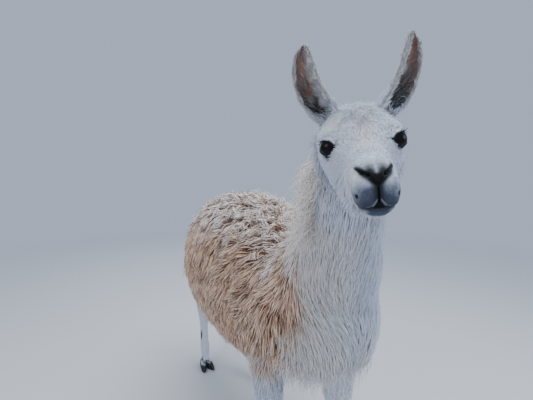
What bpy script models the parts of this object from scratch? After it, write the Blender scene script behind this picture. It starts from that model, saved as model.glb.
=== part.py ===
"""A life-size standing llama in full fleece, one closed solid for each named part of the body.

The animal faces -Y with +X on its left and +Z up. It stands square on four feet, reaches its neck
forward and turns its head to its right. The solids follow the outside of the coat, out to the tips
of the locks. Everything is modelled round the middle of the fore feet, and the last step moves it
so that the middle of the whole model's footprint box is the origin. Lengths are in metres.
"""

import math

import bmesh
import bpy
import numpy as np
from mathutils import Euler, Matrix, Vector

GAP = 0.0004  # clearance between neighbouring pieces

# Trunk, breast to rump: y, height of the top line, height of the belly line, half width.
TRUNK = [
    (-0.294, 0.780, 0.715, 0.028),
    (-0.286, 0.836, 0.667, 0.080),
    (-0.258, 0.905, 0.606, 0.140),
    (-0.200, 0.966, 0.556, 0.182),
    (-0.100, 1.010, 0.524, 0.212),
    (0.040, 1.048, 0.490, 0.238),
    (0.220, 1.083, 0.455, 0.260),
    (0.430, 1.120, 0.440, 0.278),
    (0.640, 1.117, 0.450, 0.280),
    (0.800, 1.078, 0.485, 0.262),
    (0.925, 1.008, 0.535, 0.214),
    (1.008, 0.918, 0.606, 0.146),
    (1.036, 0.856, 0.666, 0.086),
    (1.044, 0.800, 0.722, 0.030),
]
TRUNK_SQUARENESS = 2.3

# Limbs, lower end first: x, y, z, turn of the section in degrees, half width, depth in front, depth behind.
NECK = [
    (0.004, 0.045, 0.740, 0, 0.165, 0.240, 0.190),
    (0.006, -0.066, 0.850, -2, 0.182, 0.194, 0.170),
    (-0.014, -0.168, 0.940, -8, 0.162, 0.156, 0.136),
    (-0.048, -0.246, 1.020, -15, 0.127, 0.125, 0.116),
    (-0.090, -0.317, 1.110, -24, 0.106, 0.106, 0.106),
    (-0.125, -0.375, 1.190, -32, 0.099, 0.092, 0.101),
    (-0.150, -0.420, 1.262, -35, 0.087, 0.080, 0.086),
]
FORE_LEG = [  # x is counted outwards from the leg's own line, y backwards from the foot
    (0.000, 0.004, 0.045, 0, 0.029, 0.029, 0.029),
    (0.000, 0.010, 0.085, 0, 0.030, 0.030, 0.032),
    (0.000, 0.014, 0.120, 0, 0.033, 0.034, 0.036),
    (0.000, 0.014, 0.185, 0, 0.030, 0.030, 0.031),
    (0.000, 0.012, 0.280, 0, 0.034, 0.034, 0.034),
    (0.000, 0.008, 0.360, 0, 0.046, 0.044, 0.042),
    (0.000, 0.010, 0.415, 0, 0.050, 0.048, 0.048),
    (0.006, 0.018, 0.500, 0, 0.057, 0.060, 0.062),
    (0.002, 0.028, 0.590, 0, 0.065, 0.076, 0.082),
    (-0.012, 0.040, 0.690, 0, 0.069, 0.088, 0.092),
]
HIND_LEG = [
    (0.000, 0.002, 0.045, 0, 0.027, 0.027, 0.027),
    (0.000, 0.008, 0.085, 0, 0.028, 0.029, 0.030),
    (0.000, 0.014, 0.120, 0, 0.031, 0.033, 0.033),
    (0.000, 0.020, 0.190, 0, 0.027, 0.028, 0.029),
    (0.000, 0.032, 0.290, 0, 0.029, 0.032, 0.033),
    (0.002, 0.046, 0.362, 0, 0.036, 0.040, 0.046),
    (0.004, 0.036, 0.425, 0, 0.047, 0.053, 0.058),
    (0.008, -0.010, 0.505, 0, 0.074, 0.094, 0.096),
    (0.014, -0.070, 0.600, 0, 0.096, 0.136, 0.128),
    (0.000, -0.120, 0.710, 0, 0.098, 0.144, 0.128),
]
TAIL = [
    (0.000, 0.930, 0.870, 0, 0.055, 0.045, 0.045),
    (0.004, 1.030, 0.890, 0, 0.060, 0.045, 0.048),
    (0.010, 1.092, 0.838, 0, 0.062, 0.042, 0.045),
    (0.012, 1.104, 0.755, 0, 0.055, 0.036, 0.038),
    (0.008, 1.090, 0.675, 0, 0.034, 0.026, 0.024),
    (0.006, 1.084, 0.640, 0, 0.012, 0.010, 0.010),
]
# Each leg: side, foot x, foot y, reach (how far the top of the leg lies behind its usual place),
# extra wool round the knee as a share of the leg's width, stations.
LEGS = {
    "fore_right": (-1, -0.142, 0.000, 0.000, 0.00, FORE_LEG),
    "fore_left": (1, 0.130, -0.055, 0.030, 0.22, FORE_LEG),
    "hind_right": (-1, -0.085, 1.000, 0.000, 0.00, HIND_LEG),
    "hind_left": (1, 0.158, 0.690, 0.240, 0.00, HIND_LEG),
}
WOOL_Z = 0.43  # middle of the wool round the knee
WOOL_REACH = 0.13
KNEE_Z = 0.385  # height of the cut at the knee and at the hock
FETLOCK_Z = 0.105
ANKLE_Z = 0.046  # the pastern ends here, inside the toes
TOE_SPREAD = 0.0162  # each toe's line is this far from the foot's own
TOE_SPLAY = 0.16
# Toe, tip to heel: distance behind the foot's middle, half width, height.
TOE = [
    (-0.063, 0.0052, 0.013),
    (-0.058, 0.0112, 0.021),
    (-0.042, 0.0152, 0.029),
    (-0.018, 0.0170, 0.041),
    (0.009, 0.0178, 0.050),
    (0.031, 0.0162, 0.048),
    (0.042, 0.0090, 0.034),
]
TOE_WAIST = 0.35  # share of a toe's height at which it is widest
# Nail, tip to root: distance behind the foot's middle, height of the middle, half width, half height.
NAIL = [
    (-0.0800, 0.0072, 0.0017, 0.0020),
    (-0.0755, 0.0095, 0.0048, 0.0056),
    (-0.0670, 0.0130, 0.0074, 0.0092),
    (-0.0545, 0.0168, 0.0078, 0.0098),
]

# Head, in its own frame: the origin is midway between the eyes and -Y is forward.
HEAD_PLACE = Vector((-0.204, -0.500, 1.283))
HEAD_TURN = Euler((math.radians(3.1), math.radians(-6.2), math.radians(-35.8)), "YXZ")
# Nose to nape: y, height of the middle, half width, rise, drop.
HEAD = [
    (-0.1780, -0.066, 0.0100, 0.012, 0.014),
    (-0.1720, -0.067, 0.0240, 0.026, 0.034),
    (-0.1560, -0.066, 0.0345, 0.037, 0.046),
    (-0.1320, -0.061, 0.0390, 0.043, 0.052),
    (-0.1000, -0.053, 0.0410, 0.046, 0.060),
    (-0.0650, -0.042, 0.0470, 0.050, 0.069),
    (-0.0300, -0.027, 0.0640, 0.059, 0.083),
    (0.0050, -0.012, 0.0830, 0.074, 0.098),
    (0.0450, 0.000, 0.0890, 0.083, 0.112),
    (0.0850, -0.004, 0.0830, 0.082, 0.112),
    (0.1200, -0.016, 0.0640, 0.064, 0.084),
    (0.1380, -0.025, 0.0300, 0.032, 0.040),
]
HEAD_SQUARENESS = 2.3
EYE_RADIUS = 0.0195
EYE_PLACE = Vector((0.0615, -0.0140, 0.0010))
# Soft swellings of the head's surface: x (both sides), y, z, radius, height.
HEAD_SWELLINGS = [
    (0.070, 0.004, 0.027, 0.024, 0.0070),  # brow over the eye
    (0.054, -0.034, -0.040, 0.026, -0.004),  # hollow in front of the cheek
    (0.026, -0.150, -0.096, 0.022, 0.004),  # upper lip
    (0.000, -0.128, -0.116, 0.022, 0.003),  # chin
    (0.000, -0.098, -0.002, 0.026, 0.004),  # bridge of the nose
    (0.000, 0.050, 0.084, 0.045, 0.006),  # topknot
]

# Each ear: side, root on the head, lean outwards, turn of its opening and lean backwards, in degrees.
EARS = {
    "ear_right": {"side": -1, "root": (-0.052, 0.056, 0.060), "lean": 17, "facing": -16, "back": 4},
    "ear_left": {"side": 1, "root": (0.054, 0.056, 0.060), "lean": 26, "facing": 34, "back": 4},
}
# Ear, root to tip: height, shift outwards, half width, depth of the cup.
EAR = [
    (-0.012, -0.008, 0.0200, 0.017),
    (0.020, 0.004, 0.0265, 0.020),
    (0.055, 0.014, 0.0295, 0.018),
    (0.092, 0.015, 0.0285, 0.0155),
    (0.124, 0.010, 0.0250, 0.0125),
    (0.146, 0.003, 0.0190, 0.009),
    (0.158, -0.003, 0.0115, 0.006),
    (0.163, -0.006, 0.0050, 0.004),
]
EAR_WALL = 0.0055

COLOURS = {
    "white_wool": (0.80, 0.79, 0.78, 0.9),
    "fawn_fleece": (0.56, 0.42, 0.32, 0.9),
    "short_hair": (0.78, 0.79, 0.82, 0.8),
    "ear_hair": (0.66, 0.62, 0.60, 0.8),
    "eye": (0.015, 0.012, 0.012, 0.1),
    "foot_skin": (0.075, 0.070, 0.070, 0.7),
    "nail": (0.035, 0.032, 0.032, 0.4),
}


def material(name):
    """The named finish, made once and then shared."""
    found = bpy.data.materials.get(name)
    if found:
        return found
    red, green, blue, roughness = COLOURS[name]
    made = bpy.data.materials.new(name)
    made.use_nodes = True
    surface = made.node_tree.nodes["Principled BSDF"]
    surface.inputs["Base Color"].default_value = (red, green, blue, 1.0)
    surface.inputs["Roughness"].default_value = roughness
    surface.inputs["Metallic"].default_value = 0.0
    return made


def spread(stations, count):
    """Rows along a Catmull-Rom curve through the stations, with the parameter even from station to station."""
    rows = np.array(stations, float)
    padded = np.vstack([2 * rows[0] - rows[1], rows, 2 * rows[-1] - rows[-2]])
    place = np.linspace(0, len(rows) - 1, count)
    first = np.minimum(place.astype(int), len(rows) - 2)
    part = (place - first)[:, None]
    before, start, end, after = (padded[first + k] for k in range(4))
    return (
        start
        + 0.5 * (end - before) * part
        + (before - 2.5 * start + 2 * end - 0.5 * after) * part**2
        + 0.5 * (3 * start - before - 3 * end + after) * part**3
    )


def superellipse(sides, squareness):
    """Unit section: the points' sideways and upward shares, starting at the left."""
    angle = np.linspace(0, 2 * math.pi, sides, endpoint=False)
    power = 2 / squareness
    across = np.sign(np.cos(angle)) * np.abs(np.cos(angle)) ** power
    upward = np.sign(np.sin(angle)) * np.abs(np.sin(angle)) ** power
    return across, upward


def mesh_of_rings(name, rings, finish):
    """An object whose surface joins the rings of points in order and closes both ends with a flat face."""
    build = bmesh.new()
    loops = [[build.verts.new(point) for point in ring] for ring in rings]
    sides = len(loops[0])
    for low, high in zip(loops, loops[1:]):
        for k in range(sides):
            after = (k + 1) % sides
            build.faces.new((low[k], low[after], high[after], high[k]))
    build.faces.new(loops[0])
    build.faces.new(loops[-1])
    bmesh.ops.recalc_face_normals(build, faces=build.faces)
    mesh = bpy.data.meshes.new(name)
    build.to_mesh(mesh)
    build.free()
    mesh.shade_smooth()
    mesh.materials.append(material(finish))
    made = bpy.data.objects.new(name, mesh)
    bpy.context.scene.collection.objects.link(made)
    return made


def limb_rings(rows, sides, squareness=2.15):
    """Rings square to a path. Each row is x, y, z, turn, half width, front depth, back depth."""
    centre = rows[:, :3]
    along = np.gradient(centre, axis=0)
    along /= np.linalg.norm(along, axis=1, keepdims=True)
    turn = np.radians(rows[:, 3])
    side = np.stack([np.cos(turn), np.sin(turn), 0 * turn], axis=1)
    side -= (side * along).sum(1, keepdims=True) * along
    side /= np.linalg.norm(side, axis=1, keepdims=True)
    front = np.cross(side, along)
    across, upward = superellipse(sides, squareness)
    depth = np.where(upward > 0, rows[:, 5:6] * upward, rows[:, 6:7] * upward)
    return (
        centre[:, None]
        + side[:, None] * (rows[:, 4:5] * across)[:, :, None]
        + front[:, None] * depth[:, :, None]
    )


def hide_helper(helper):
    helper.hide_render = True
    helper.display_type = "WIRE"
    return helper


def swollen(made):
    """A hidden copy of an object's own mesh, grown by GAP, for cutting its neighbours clear of it."""
    cutter = bpy.data.objects.new("cutter_" + made.name, made.data.copy())
    bpy.context.scene.collection.objects.link(cutter)
    normals = [vertex.normal.copy() for vertex in cutter.data.vertices]
    for vertex, normal in zip(cutter.data.vertices, normals):
        vertex.co += normal * GAP
    return hide_helper(cutter)


def combine(made, other, operation):
    """Adds an exact Boolean of the other object to this one."""
    step = made.modifiers.new(operation.lower() + "_" + other.name, "BOOLEAN")
    step.object = other
    step.operation = operation
    step.solver = "EXACT"


def make_trunk():
    """Barrel of the body: upright oval sections from the breast to the rump."""
    rows = spread(TRUNK, 27)
    across, upward = superellipse(28, TRUNK_SQUARENESS)
    middle = (rows[:, 1] * 0.46 + rows[:, 2] * 0.54)[:, None]
    rise = rows[:, 1:2] - middle
    drop = middle - rows[:, 2:3]
    z = middle + np.where(upward > 0, rise * upward, drop * upward)
    x = rows[:, 3:4] * across * (1 - 0.10 * np.clip(upward, 0, 1) ** 2)
    y = np.broadcast_to(rows[:, 0:1], x.shape)
    return mesh_of_rings("trunk", np.stack([x, y, z], axis=2), "fawn_fleece")


def make_neck():
    return mesh_of_rings("neck", limb_rings(spread(NECK, 16), 22), "white_wool")


def make_tail():
    return mesh_of_rings("tail", limb_rings(spread(TAIL, 10), 12), "white_wool")


def leg_rings(side, foot_x, foot_y, reach, wool, stations):
    """The whole leg in the body's frame: the heights along its path, and a ring square to it at each."""
    rows = np.array(stations, float)
    rows[:, 0] = foot_x + side * rows[:, 0]
    rows[:, 1] += foot_y + reach * rows[:, 2] / rows[-1, 2]
    rows = spread(rows, 61)
    rows[:, 4:] *= 1 + wool * np.exp(-(((rows[:, 2:3] - WOOL_Z) / WOOL_REACH) ** 2))
    return rows[:, 2], limb_rings(rows, 12)


def leg_piece(name, leg, low, high, count, finish):
    """The stretch of a leg between two heights of its path, closed with flat ends."""
    heights, rings = leg
    place = np.interp(np.linspace(low, high, count), heights, np.arange(len(heights)))
    first = np.minimum(place.astype(int), len(heights) - 2)
    part = (place - first)[:, None, None]
    return mesh_of_rings(name, rings[first] * (1 - part) + rings[first + 1] * part, finish)


def make_toe(name, foot_x, foot_y, side):
    """One padded toe, round above and flat below, kept as a hidden helper."""
    rows = spread(TOE, 8)
    across, upward = superellipse(10, 2.5)
    x = foot_x + side * (TOE_SPREAD - TOE_SPLAY * rows[:, 0:1]) + rows[:, 1:2] * across
    y = np.broadcast_to(foot_y + rows[:, 0:1], x.shape)
    above = TOE_WAIST + (1 - TOE_WAIST) * upward
    below = TOE_WAIST * (1 + 3 * upward)
    z = rows[:, 2:3] * np.clip(np.where(upward > 0, above, below), 0, None)
    toe = mesh_of_rings(name, np.stack([x, y, z], axis=2), "foot_skin")
    return hide_helper(toe)


def make_nail(name, foot_x, foot_y, side, toe):
    """A short curved nail that continues the toe's top line and stops just above the floor."""
    rows = spread(NAIL, 5)
    across, upward = superellipse(8, 2.2)
    x = foot_x + side * (TOE_SPREAD - TOE_SPLAY * rows[:, 0:1]) + rows[:, 2:3] * across
    y = np.broadcast_to(foot_y + rows[:, 0:1], x.shape)
    z = rows[:, 1:2] + rows[:, 3:4] * upward
    nail = mesh_of_rings(name, np.stack([x, y, z], axis=2), "nail")
    combine(nail, swollen(toe), "DIFFERENCE")
    return nail


def make_leg(name, trunk_cutter):
    """One leg: the part above the knee or hock, the part below it, the foot and its two nails."""
    side, foot_x, foot_y, reach, wool, stations = LEGS[name]
    leg = leg_rings(side, foot_x, foot_y, reach, wool, stations)
    upper = leg_piece(name + "_upper", leg, KNEE_Z + GAP, stations[-1][2], 9, "short_hair")
    combine(upper, trunk_cutter, "DIFFERENCE")
    lower = leg_piece(name + "_lower", leg, FETLOCK_Z, KNEE_Z, 8, "short_hair")
    foot = leg_piece(name + "_foot", leg, ANKLE_Z, FETLOCK_Z - GAP, 4, "foot_skin")
    nails = []
    for toe_side, toe_name in ((-1, "right"), (1, "left")):
        toe = make_toe(f"toe_{name}_{toe_name}", foot_x, foot_y, toe_side)
        combine(foot, toe, "UNION")
        nails.append(make_nail(f"{name}_nail_{toe_name}", foot_x, foot_y, toe_side, toe))
    return [upper, lower, foot, *nails]


def make_head():
    """The head as one lofted form from the nose to the nape, with soft swellings, in its own frame."""
    rows = spread(HEAD, 26)
    across, upward = superellipse(24, HEAD_SQUARENESS)
    z = rows[:, 1:2] + np.where(upward > 0, rows[:, 3:4] * upward, rows[:, 4:5] * upward)
    # The face narrows towards its lower edge and a little over the crown.
    narrowing = 1 - 0.20 * np.clip(-upward, 0, 1) ** 1.5 - 0.10 * np.clip(upward, 0, 1) ** 2
    x = rows[:, 2:3] * across * narrowing
    y = np.broadcast_to(rows[:, 0:1], x.shape)
    points = np.stack([x, y, z], axis=2)
    middle = np.stack([0 * rows[:, 0], rows[:, 0], rows[:, 1]], axis=1)[:, None]
    outward = points - middle
    outward /= np.linalg.norm(outward, axis=2, keepdims=True)
    push = np.zeros(points.shape[:2])
    for place_x, place_y, place_z, radius, height in HEAD_SWELLINGS:
        for side in (-1, 1) if place_x else (1,):
            away = np.linalg.norm(points - (side * place_x, place_y, place_z), axis=2)
            push += height * np.exp(-((away / radius) ** 2))
    return mesh_of_rings("head", points + outward * push[:, :, None], "short_hair")


def make_eye(name, side):
    build = bmesh.new()
    bmesh.ops.create_uvsphere(build, u_segments=12, v_segments=8, radius=EYE_RADIUS)
    mesh = bpy.data.meshes.new(name)
    build.to_mesh(mesh)
    build.free()
    mesh.transform(Matrix.Translation((side * EYE_PLACE.x, EYE_PLACE.y, EYE_PLACE.z)))
    mesh.shade_smooth()
    mesh.materials.append(material("eye"))
    eye = bpy.data.objects.new(name, mesh)
    bpy.context.scene.collection.objects.link(eye)
    return eye


def make_ear(name, side, root, lean, facing, back):
    """A cupped, banana-shaped ear: crescent sections stacked from the root to the inturned tip."""
    turn = np.linspace(-1, 1, 8)
    rings = []
    for height, shift, half_width, cup in spread(EAR, 11):
        wall = min(EAR_WALL, 0.6 * cup)
        outer_x = half_width * turn
        outer_y = cup * (1 - turn**2)
        inner_x = 0.9 * (half_width - 0.35 * wall) * turn[::-1]
        inner_y = 0.86 * outer_y[::-1] - wall
        x = side * shift + np.append(outer_x, inner_x)
        y = np.append(outer_y, inner_y) - 0.5 * cup
        rings.append(np.stack([x, y, np.full_like(x, height)], axis=1))
    ear = mesh_of_rings(name, rings, "ear_hair")
    angles = (math.radians(-back), math.radians(side * lean), math.radians(facing))
    ear.data.transform(Matrix.Translation(root) @ Euler(angles, "ZXY").to_matrix().to_4x4())
    return ear


def place_on_head(made):
    """Carries a piece modelled in the head's frame to the head's place on the body."""
    made.data.transform(Matrix.Translation(HEAD_PLACE) @ HEAD_TURN.to_matrix().to_4x4())


def stand_on_origin(pieces):
    """Moves the model so that the middle of its box's underside is the origin."""
    graph = bpy.context.evaluated_depsgraph_get()
    corners = []
    for piece in pieces:
        solid = piece.evaluated_get(graph)
        corners += [solid.matrix_world @ Vector(corner) for corner in solid.bound_box]
    low = Vector(min(corner[k] for corner in corners) for k in range(3))
    high = Vector(max(corner[k] for corner in corners) for k in range(3))
    shift = Vector((-(low.x + high.x) / 2, -(low.y + high.y) / 2, -low.z))
    for made in bpy.data.objects:
        made.location += shift


def main():
    for left_over in list(bpy.data.objects):
        bpy.data.objects.remove(left_over)
    trunk = make_trunk()
    trunk_cutter = swollen(trunk)
    head = make_head()
    eyes = [make_eye("eye_right", -1), make_eye("eye_left", 1)]
    ears = [make_ear(name, **facts) for name, facts in EARS.items()]
    for piece in [head, *eyes, *ears]:
        place_on_head(piece)
    head_cutter = swollen(head)
    for ear in ears:
        combine(ear, head_cutter, "DIFFERENCE")
    for eye in eyes:
        combine(head, swollen(eye), "DIFFERENCE")
    neck = make_neck()
    combine(neck, trunk_cutter, "DIFFERENCE")
    combine(neck, head_cutter, "DIFFERENCE")
    tail = make_tail()
    combine(tail, trunk_cutter, "DIFFERENCE")
    pieces = [trunk, head, neck, tail, *eyes, *ears]
    for name in LEGS:
        pieces += make_leg(name, trunk_cutter)
    bpy.context.view_layer.update()
    stand_on_origin(pieces)


main()
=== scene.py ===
import math
import time

import bpy
import numpy as np
from mathutils import Euler, Matrix, Vector
from mathutils.bvhtree import BVHTree
from mathutils.kdtree import KDTree


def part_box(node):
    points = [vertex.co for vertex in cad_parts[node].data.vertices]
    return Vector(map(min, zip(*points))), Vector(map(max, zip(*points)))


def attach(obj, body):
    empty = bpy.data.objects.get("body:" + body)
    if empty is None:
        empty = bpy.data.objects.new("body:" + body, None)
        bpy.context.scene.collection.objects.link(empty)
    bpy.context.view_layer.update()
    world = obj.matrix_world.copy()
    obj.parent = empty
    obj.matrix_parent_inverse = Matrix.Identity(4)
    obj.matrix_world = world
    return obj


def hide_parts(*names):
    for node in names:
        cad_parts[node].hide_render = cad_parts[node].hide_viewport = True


started = time.time()
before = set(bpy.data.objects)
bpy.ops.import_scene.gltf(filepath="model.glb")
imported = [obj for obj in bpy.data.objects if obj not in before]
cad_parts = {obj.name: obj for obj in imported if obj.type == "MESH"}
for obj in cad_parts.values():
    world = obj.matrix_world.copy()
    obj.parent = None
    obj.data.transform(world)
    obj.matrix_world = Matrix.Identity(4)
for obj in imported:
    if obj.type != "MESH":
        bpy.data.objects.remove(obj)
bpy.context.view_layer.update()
trunkLow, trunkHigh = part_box("trunk")


def report(stage):
    # Prints the stage and the seconds since the start.
    print(f"{stage} ({time.time() - started:.0f} s)")


report("frame loaded")

shot = {
    "place": (-0.675, -1.024, 1.235),
    "azimuth": 26.7,  # degrees to the animal's left of straight behind it
    "down": 5.1,
    "lens": 23.3,
    "sensor": 36.0,
}
studio = {
    "sky": (0.66, 0.77, 0.98),
    "skyStrength": 0.66,
    "floor": (0.62, 0.63, 0.64),
    "floorRings": (0.5, 3.0, 60.0),
    "floorSides": 96,
    "fade": (1.7, 6.0),
    # name, place, aimed at, width, power, colour
    "lamps": [
        ("overhead", (0.4, -0.2, 4.2), (0.0, 0.1, 0.9), 3.4, 140, (0.91, 0.955, 1.0)),
        ("frontLeft", (2.6, -3.4, 2.6), (0.0, -0.3, 0.9), 2.6, 60, (0.86, 0.92, 1.0)),
        ("frontRight", (-3.6, -1.6, 2.8), (0.0, 0.0, 0.8), 2.6, 45, (1.0, 0.97, 0.93)),
        ("behind", (0.5, 4.2, 3.0), (0.0, 0.2, 0.9), 3.0, 50, (0.95, 0.97, 1.0)),
    ],
}


def objectOf(name, data):
    # A new object for the data, linked into the scene.
    made = bpy.data.objects.new(name, data)
    bpy.context.scene.collection.objects.link(made)
    return made


def aimed(place, target):
    # The turn that points an object's own -Z from the place to the target.
    return (Vector(target) - Vector(place)).to_track_quat("-Z", "Y").to_euler()


def addCamera():
    # Looks along the azimuth, tipped down: (sin a cos d, cos a cos d, -sin d).
    data = bpy.data.cameras.new("camera")
    data.lens = shot["lens"]
    data.sensor_width = shot["sensor"]
    camera = objectOf("camera", data)
    camera.location = Vector(shot["place"]) + Vector(bodyShift)
    turn, dip = math.radians(shot["azimuth"]), math.radians(shot["down"])
    ahead = Vector((math.sin(turn) * math.cos(dip), math.cos(turn) * math.cos(dip), -math.sin(dip)))
    camera.rotation_euler = aimed(camera.location, camera.location + ahead)
    bpy.context.scene.camera = camera


def addLamps():
    # Round soft lamps, each aimed at its target, under an even pale sky.
    for name, place, target, width, power, colour in studio["lamps"]:
        data = bpy.data.lights.new(name, "AREA")
        data.shape = "DISK"
        data.size = width
        data.energy = power
        data.color = colour
        lamp = objectOf(name, data)
        lamp.location = place
        lamp.rotation_euler = aimed(place, target)
    world = bpy.data.worlds.new("softSky")
    world.use_nodes = True
    sky = world.node_tree.nodes["Background"]
    sky.inputs["Color"].default_value = (*studio["sky"], 1)
    sky.inputs["Strength"].default_value = studio["skyStrength"]
    bpy.context.scene.world = world


def alongTable(table, places):
    # Catmull-Rom curve through the rows of a table, read at fractional row numbers.
    rows = np.asarray(table, float)
    padded = np.vstack([2 * rows[0] - rows[1], rows, 2 * rows[-1] - rows[-2]])
    first = np.clip(places.astype(int), 0, len(rows) - 2)
    part = (places - first)[:, None]
    before, start, end, after = (padded[first + k] for k in range(4))
    return (
        start
        + 0.5 * (end - before) * part
        + (before - 2.5 * start + 2 * end - 0.5 * after) * part**2
        + 0.5 * (3 * start - before - 3 * end + after) * part**3
    )


def runOf(line, step=1):
    # Distance along a line of points from its start to each of them, counted in steps.
    return np.append(0, np.cumsum(np.linalg.norm(np.diff(line, axis=0), axis=1) / step))


def evenRows(table, count, columns):
    # Rows of the table's curve, spaced evenly by the length of the line that the given columns draw.
    dense = np.linspace(0, len(table) - 1, 600)
    run = runOf(alongTable(table, dense)[:, columns])
    return alongTable(table, np.interp(np.linspace(0, run[-1], count), run, dense))


def turns(sides):
    # Even angles once round.
    return np.linspace(0, 2 * np.pi, sides, endpoint=False)


def oval(angles, squareness):
    # Unit superellipse: the sideways and upward shares at each angle.
    power = 2 / squareness
    across = np.sign(np.cos(angles)) * np.abs(np.cos(angles)) ** power
    upward = np.sign(np.sin(angles)) * np.abs(np.sin(angles)) ** power
    return across, upward


def unit(vectors):
    # Each vector divided by its length.
    return vectors / np.maximum(np.linalg.norm(vectors, axis=-1, keepdims=True), 1e-9)


def smooth(low, high, value):
    # 0 below low, 1 above high, and a soft S between; the other way round where low is the higher.
    part = np.clip((value - low) / (high - low), 0, 1)
    return part * part * (3 - 2 * part)


def bell(value, width):
    # 1 at nought, falling away on both sides as exp(-(value / width) squared).
    return np.exp(-((value / width) ** 2))


def gridOf(x, y, z):
    # A grid's points from its three coordinates, each stretched to the shape they share.
    return np.stack(np.broadcast_arrays(x, y, z), axis=-1)


def limbRings(rows, angles, squareness=2.15):
    # Oval rings square to a path. A row is x, y, z, turn, half width, front depth, back depth.
    along = unit(np.gradient(rows[:, :3], axis=0))
    turn = np.radians(rows[:, 3])
    side = np.stack([np.cos(turn), np.sin(turn), 0 * turn], axis=1)
    side = unit(side - (side * along).sum(1, keepdims=True) * along)
    front = np.cross(side, along)
    across, upward = oval(angles, squareness)
    depth = np.where(upward > 0, rows[:, 5:6] * upward, rows[:, 6:7] * upward)
    return (
        rows[:, None, :3]
        + side[:, None] * (rows[:, 4:5] * across)[:, :, None]
        + front[:, None] * depth[:, :, None]
    )


def insideOut(points, triangles):
    # Whether the sum of the tetrahedra between the origin and the triangles is negative.
    a, b, c = (points[triangles[:, k]] for k in range(3))
    return (a * np.cross(b, c)).sum() < 0


def closedGrid(rings):
    # Quads between neighbouring rings and a fan of triangles over each end, all facing outwards.
    count, sides = rings.shape[:2]
    points = np.vstack([rings.reshape(-1, 3), rings[0].mean(0), rings[-1].mean(0)])
    row, col = np.meshgrid(np.arange(count - 1), np.arange(sides), indexing="ij")
    a = (row * sides + col).ravel()
    b = (row * sides + (col + 1) % sides).ravel()
    quads = np.stack([a, b, b + sides, a + sides], axis=1)
    col = np.arange(sides)
    after = (col + 1) % sides
    last = (count - 1) * sides
    lowFan = np.stack([np.full(sides, count * sides), after, col], axis=1)
    highFan = np.stack([np.full(sides, count * sides + 1), last + col, last + after], axis=1)
    faces = quads.tolist() + lowFan.tolist() + highFan.tolist()
    if insideOut(points, np.vstack([quads[:, :3], quads[:, [0, 2, 3]], lowFan, highFan])):
        faces = [face[::-1] for face in faces]
    return points, faces


def loopGrid(rings):
    # A ring-shaped tube: quads that wrap both ways, facing outwards.
    count, sides = rings.shape[:2]
    row, col = np.meshgrid(np.arange(count), np.arange(sides), indexing="ij")
    after, ahead = (col + 1) % sides, (row + 1) % count
    corners = [row * sides + col, row * sides + after, ahead * sides + after, ahead * sides + col]
    quads = np.stack(corners, -1).reshape(-1, 4)
    points = rings.reshape(-1, 3)
    if insideOut(points - points.mean(0), np.vstack([quads[:, :3], quads[:, [0, 2, 3]]])):
        quads = quads[:, ::-1]
    return points, quads.tolist()


def meshOf(name, points, faces):
    # A smooth-shaded mesh of the points and faces.
    mesh = bpy.data.meshes.new(name)
    mesh.from_pydata(points.tolist(), [], faces)
    mesh.shade_smooth()
    return mesh


def gridObject(name, rings):
    # A closed surface over the rings, as an object.
    return objectOf(name, meshOf(name, *closedGrid(rings)))


def settled(made):
    # The object's mesh with its modifiers worked in, and the object itself removed.
    evaluated = made.evaluated_get(bpy.context.evaluated_depsgraph_get())
    mesh = bpy.data.meshes.new_from_object(evaluated)
    bpy.data.objects.remove(made)
    return mesh


def pointsOf(mesh):
    # The mesh's points as one array.
    points = np.empty(len(mesh.vertices) * 3)
    mesh.vertices.foreach_get("co", points)
    return points.reshape(-1, 3)


trunk = {
    "stations": [  # y, top, belly, half width, out to the tips of the coat
        (-0.294, 0.780, 0.715, 0.028), (-0.286, 0.836, 0.667, 0.080), (-0.258, 0.905, 0.606, 0.140),
        (-0.200, 0.966, 0.556, 0.182), (-0.100, 1.010, 0.524, 0.212), (0.040, 1.048, 0.490, 0.238),
        (0.220, 1.083, 0.455, 0.260), (0.430, 1.120, 0.440, 0.278), (0.640, 1.117, 0.450, 0.280),
        (0.800, 1.078, 0.485, 0.262), (0.925, 1.008, 0.535, 0.214), (1.008, 0.918, 0.606, 0.146),
        (1.036, 0.856, 0.666, 0.086), (1.044, 0.800, 0.722, 0.030),
    ],
    "squareness": 2.3,
    "middleY": 0.375,
    "halfLength": 0.669,
    "widest": 0.46,  # height of the widest line between belly and top
    "topNarrowing": 0.10,
    "coat": 0.026,
}
neck = {
    "stations": [  # x, y, z, turn, half width, front depth, back depth
        (0.004, 0.045, 0.740, 0, 0.165, 0.240, 0.190), (0.006, -0.066, 0.850, -2, 0.182, 0.194, 0.170),
        (-0.014, -0.168, 0.940, -8, 0.162, 0.156, 0.136), (-0.048, -0.246, 1.020, -15, 0.127, 0.125, 0.116),
        (-0.090, -0.317, 1.110, -24, 0.106, 0.106, 0.106), (-0.125, -0.375, 1.190, -32, 0.099, 0.092, 0.101),
        (-0.150, -0.420, 1.262, -35, 0.087, 0.080, 0.086),
    ],
    "coat": 0.022,
}
tail = {
    "stations": [
        (0.000, 0.930, 0.870, 0, 0.055, 0.045, 0.045), (0.004, 1.030, 0.890, 0, 0.060, 0.045, 0.048),
        (0.010, 1.092, 0.838, 0, 0.062, 0.042, 0.045), (0.012, 1.104, 0.755, 0, 0.055, 0.036, 0.038),
        (0.008, 1.090, 0.675, 0, 0.034, 0.026, 0.024), (0.006, 1.084, 0.640, 0, 0.012, 0.010, 0.010),
    ],
    "coat": 0.022,
}
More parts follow.
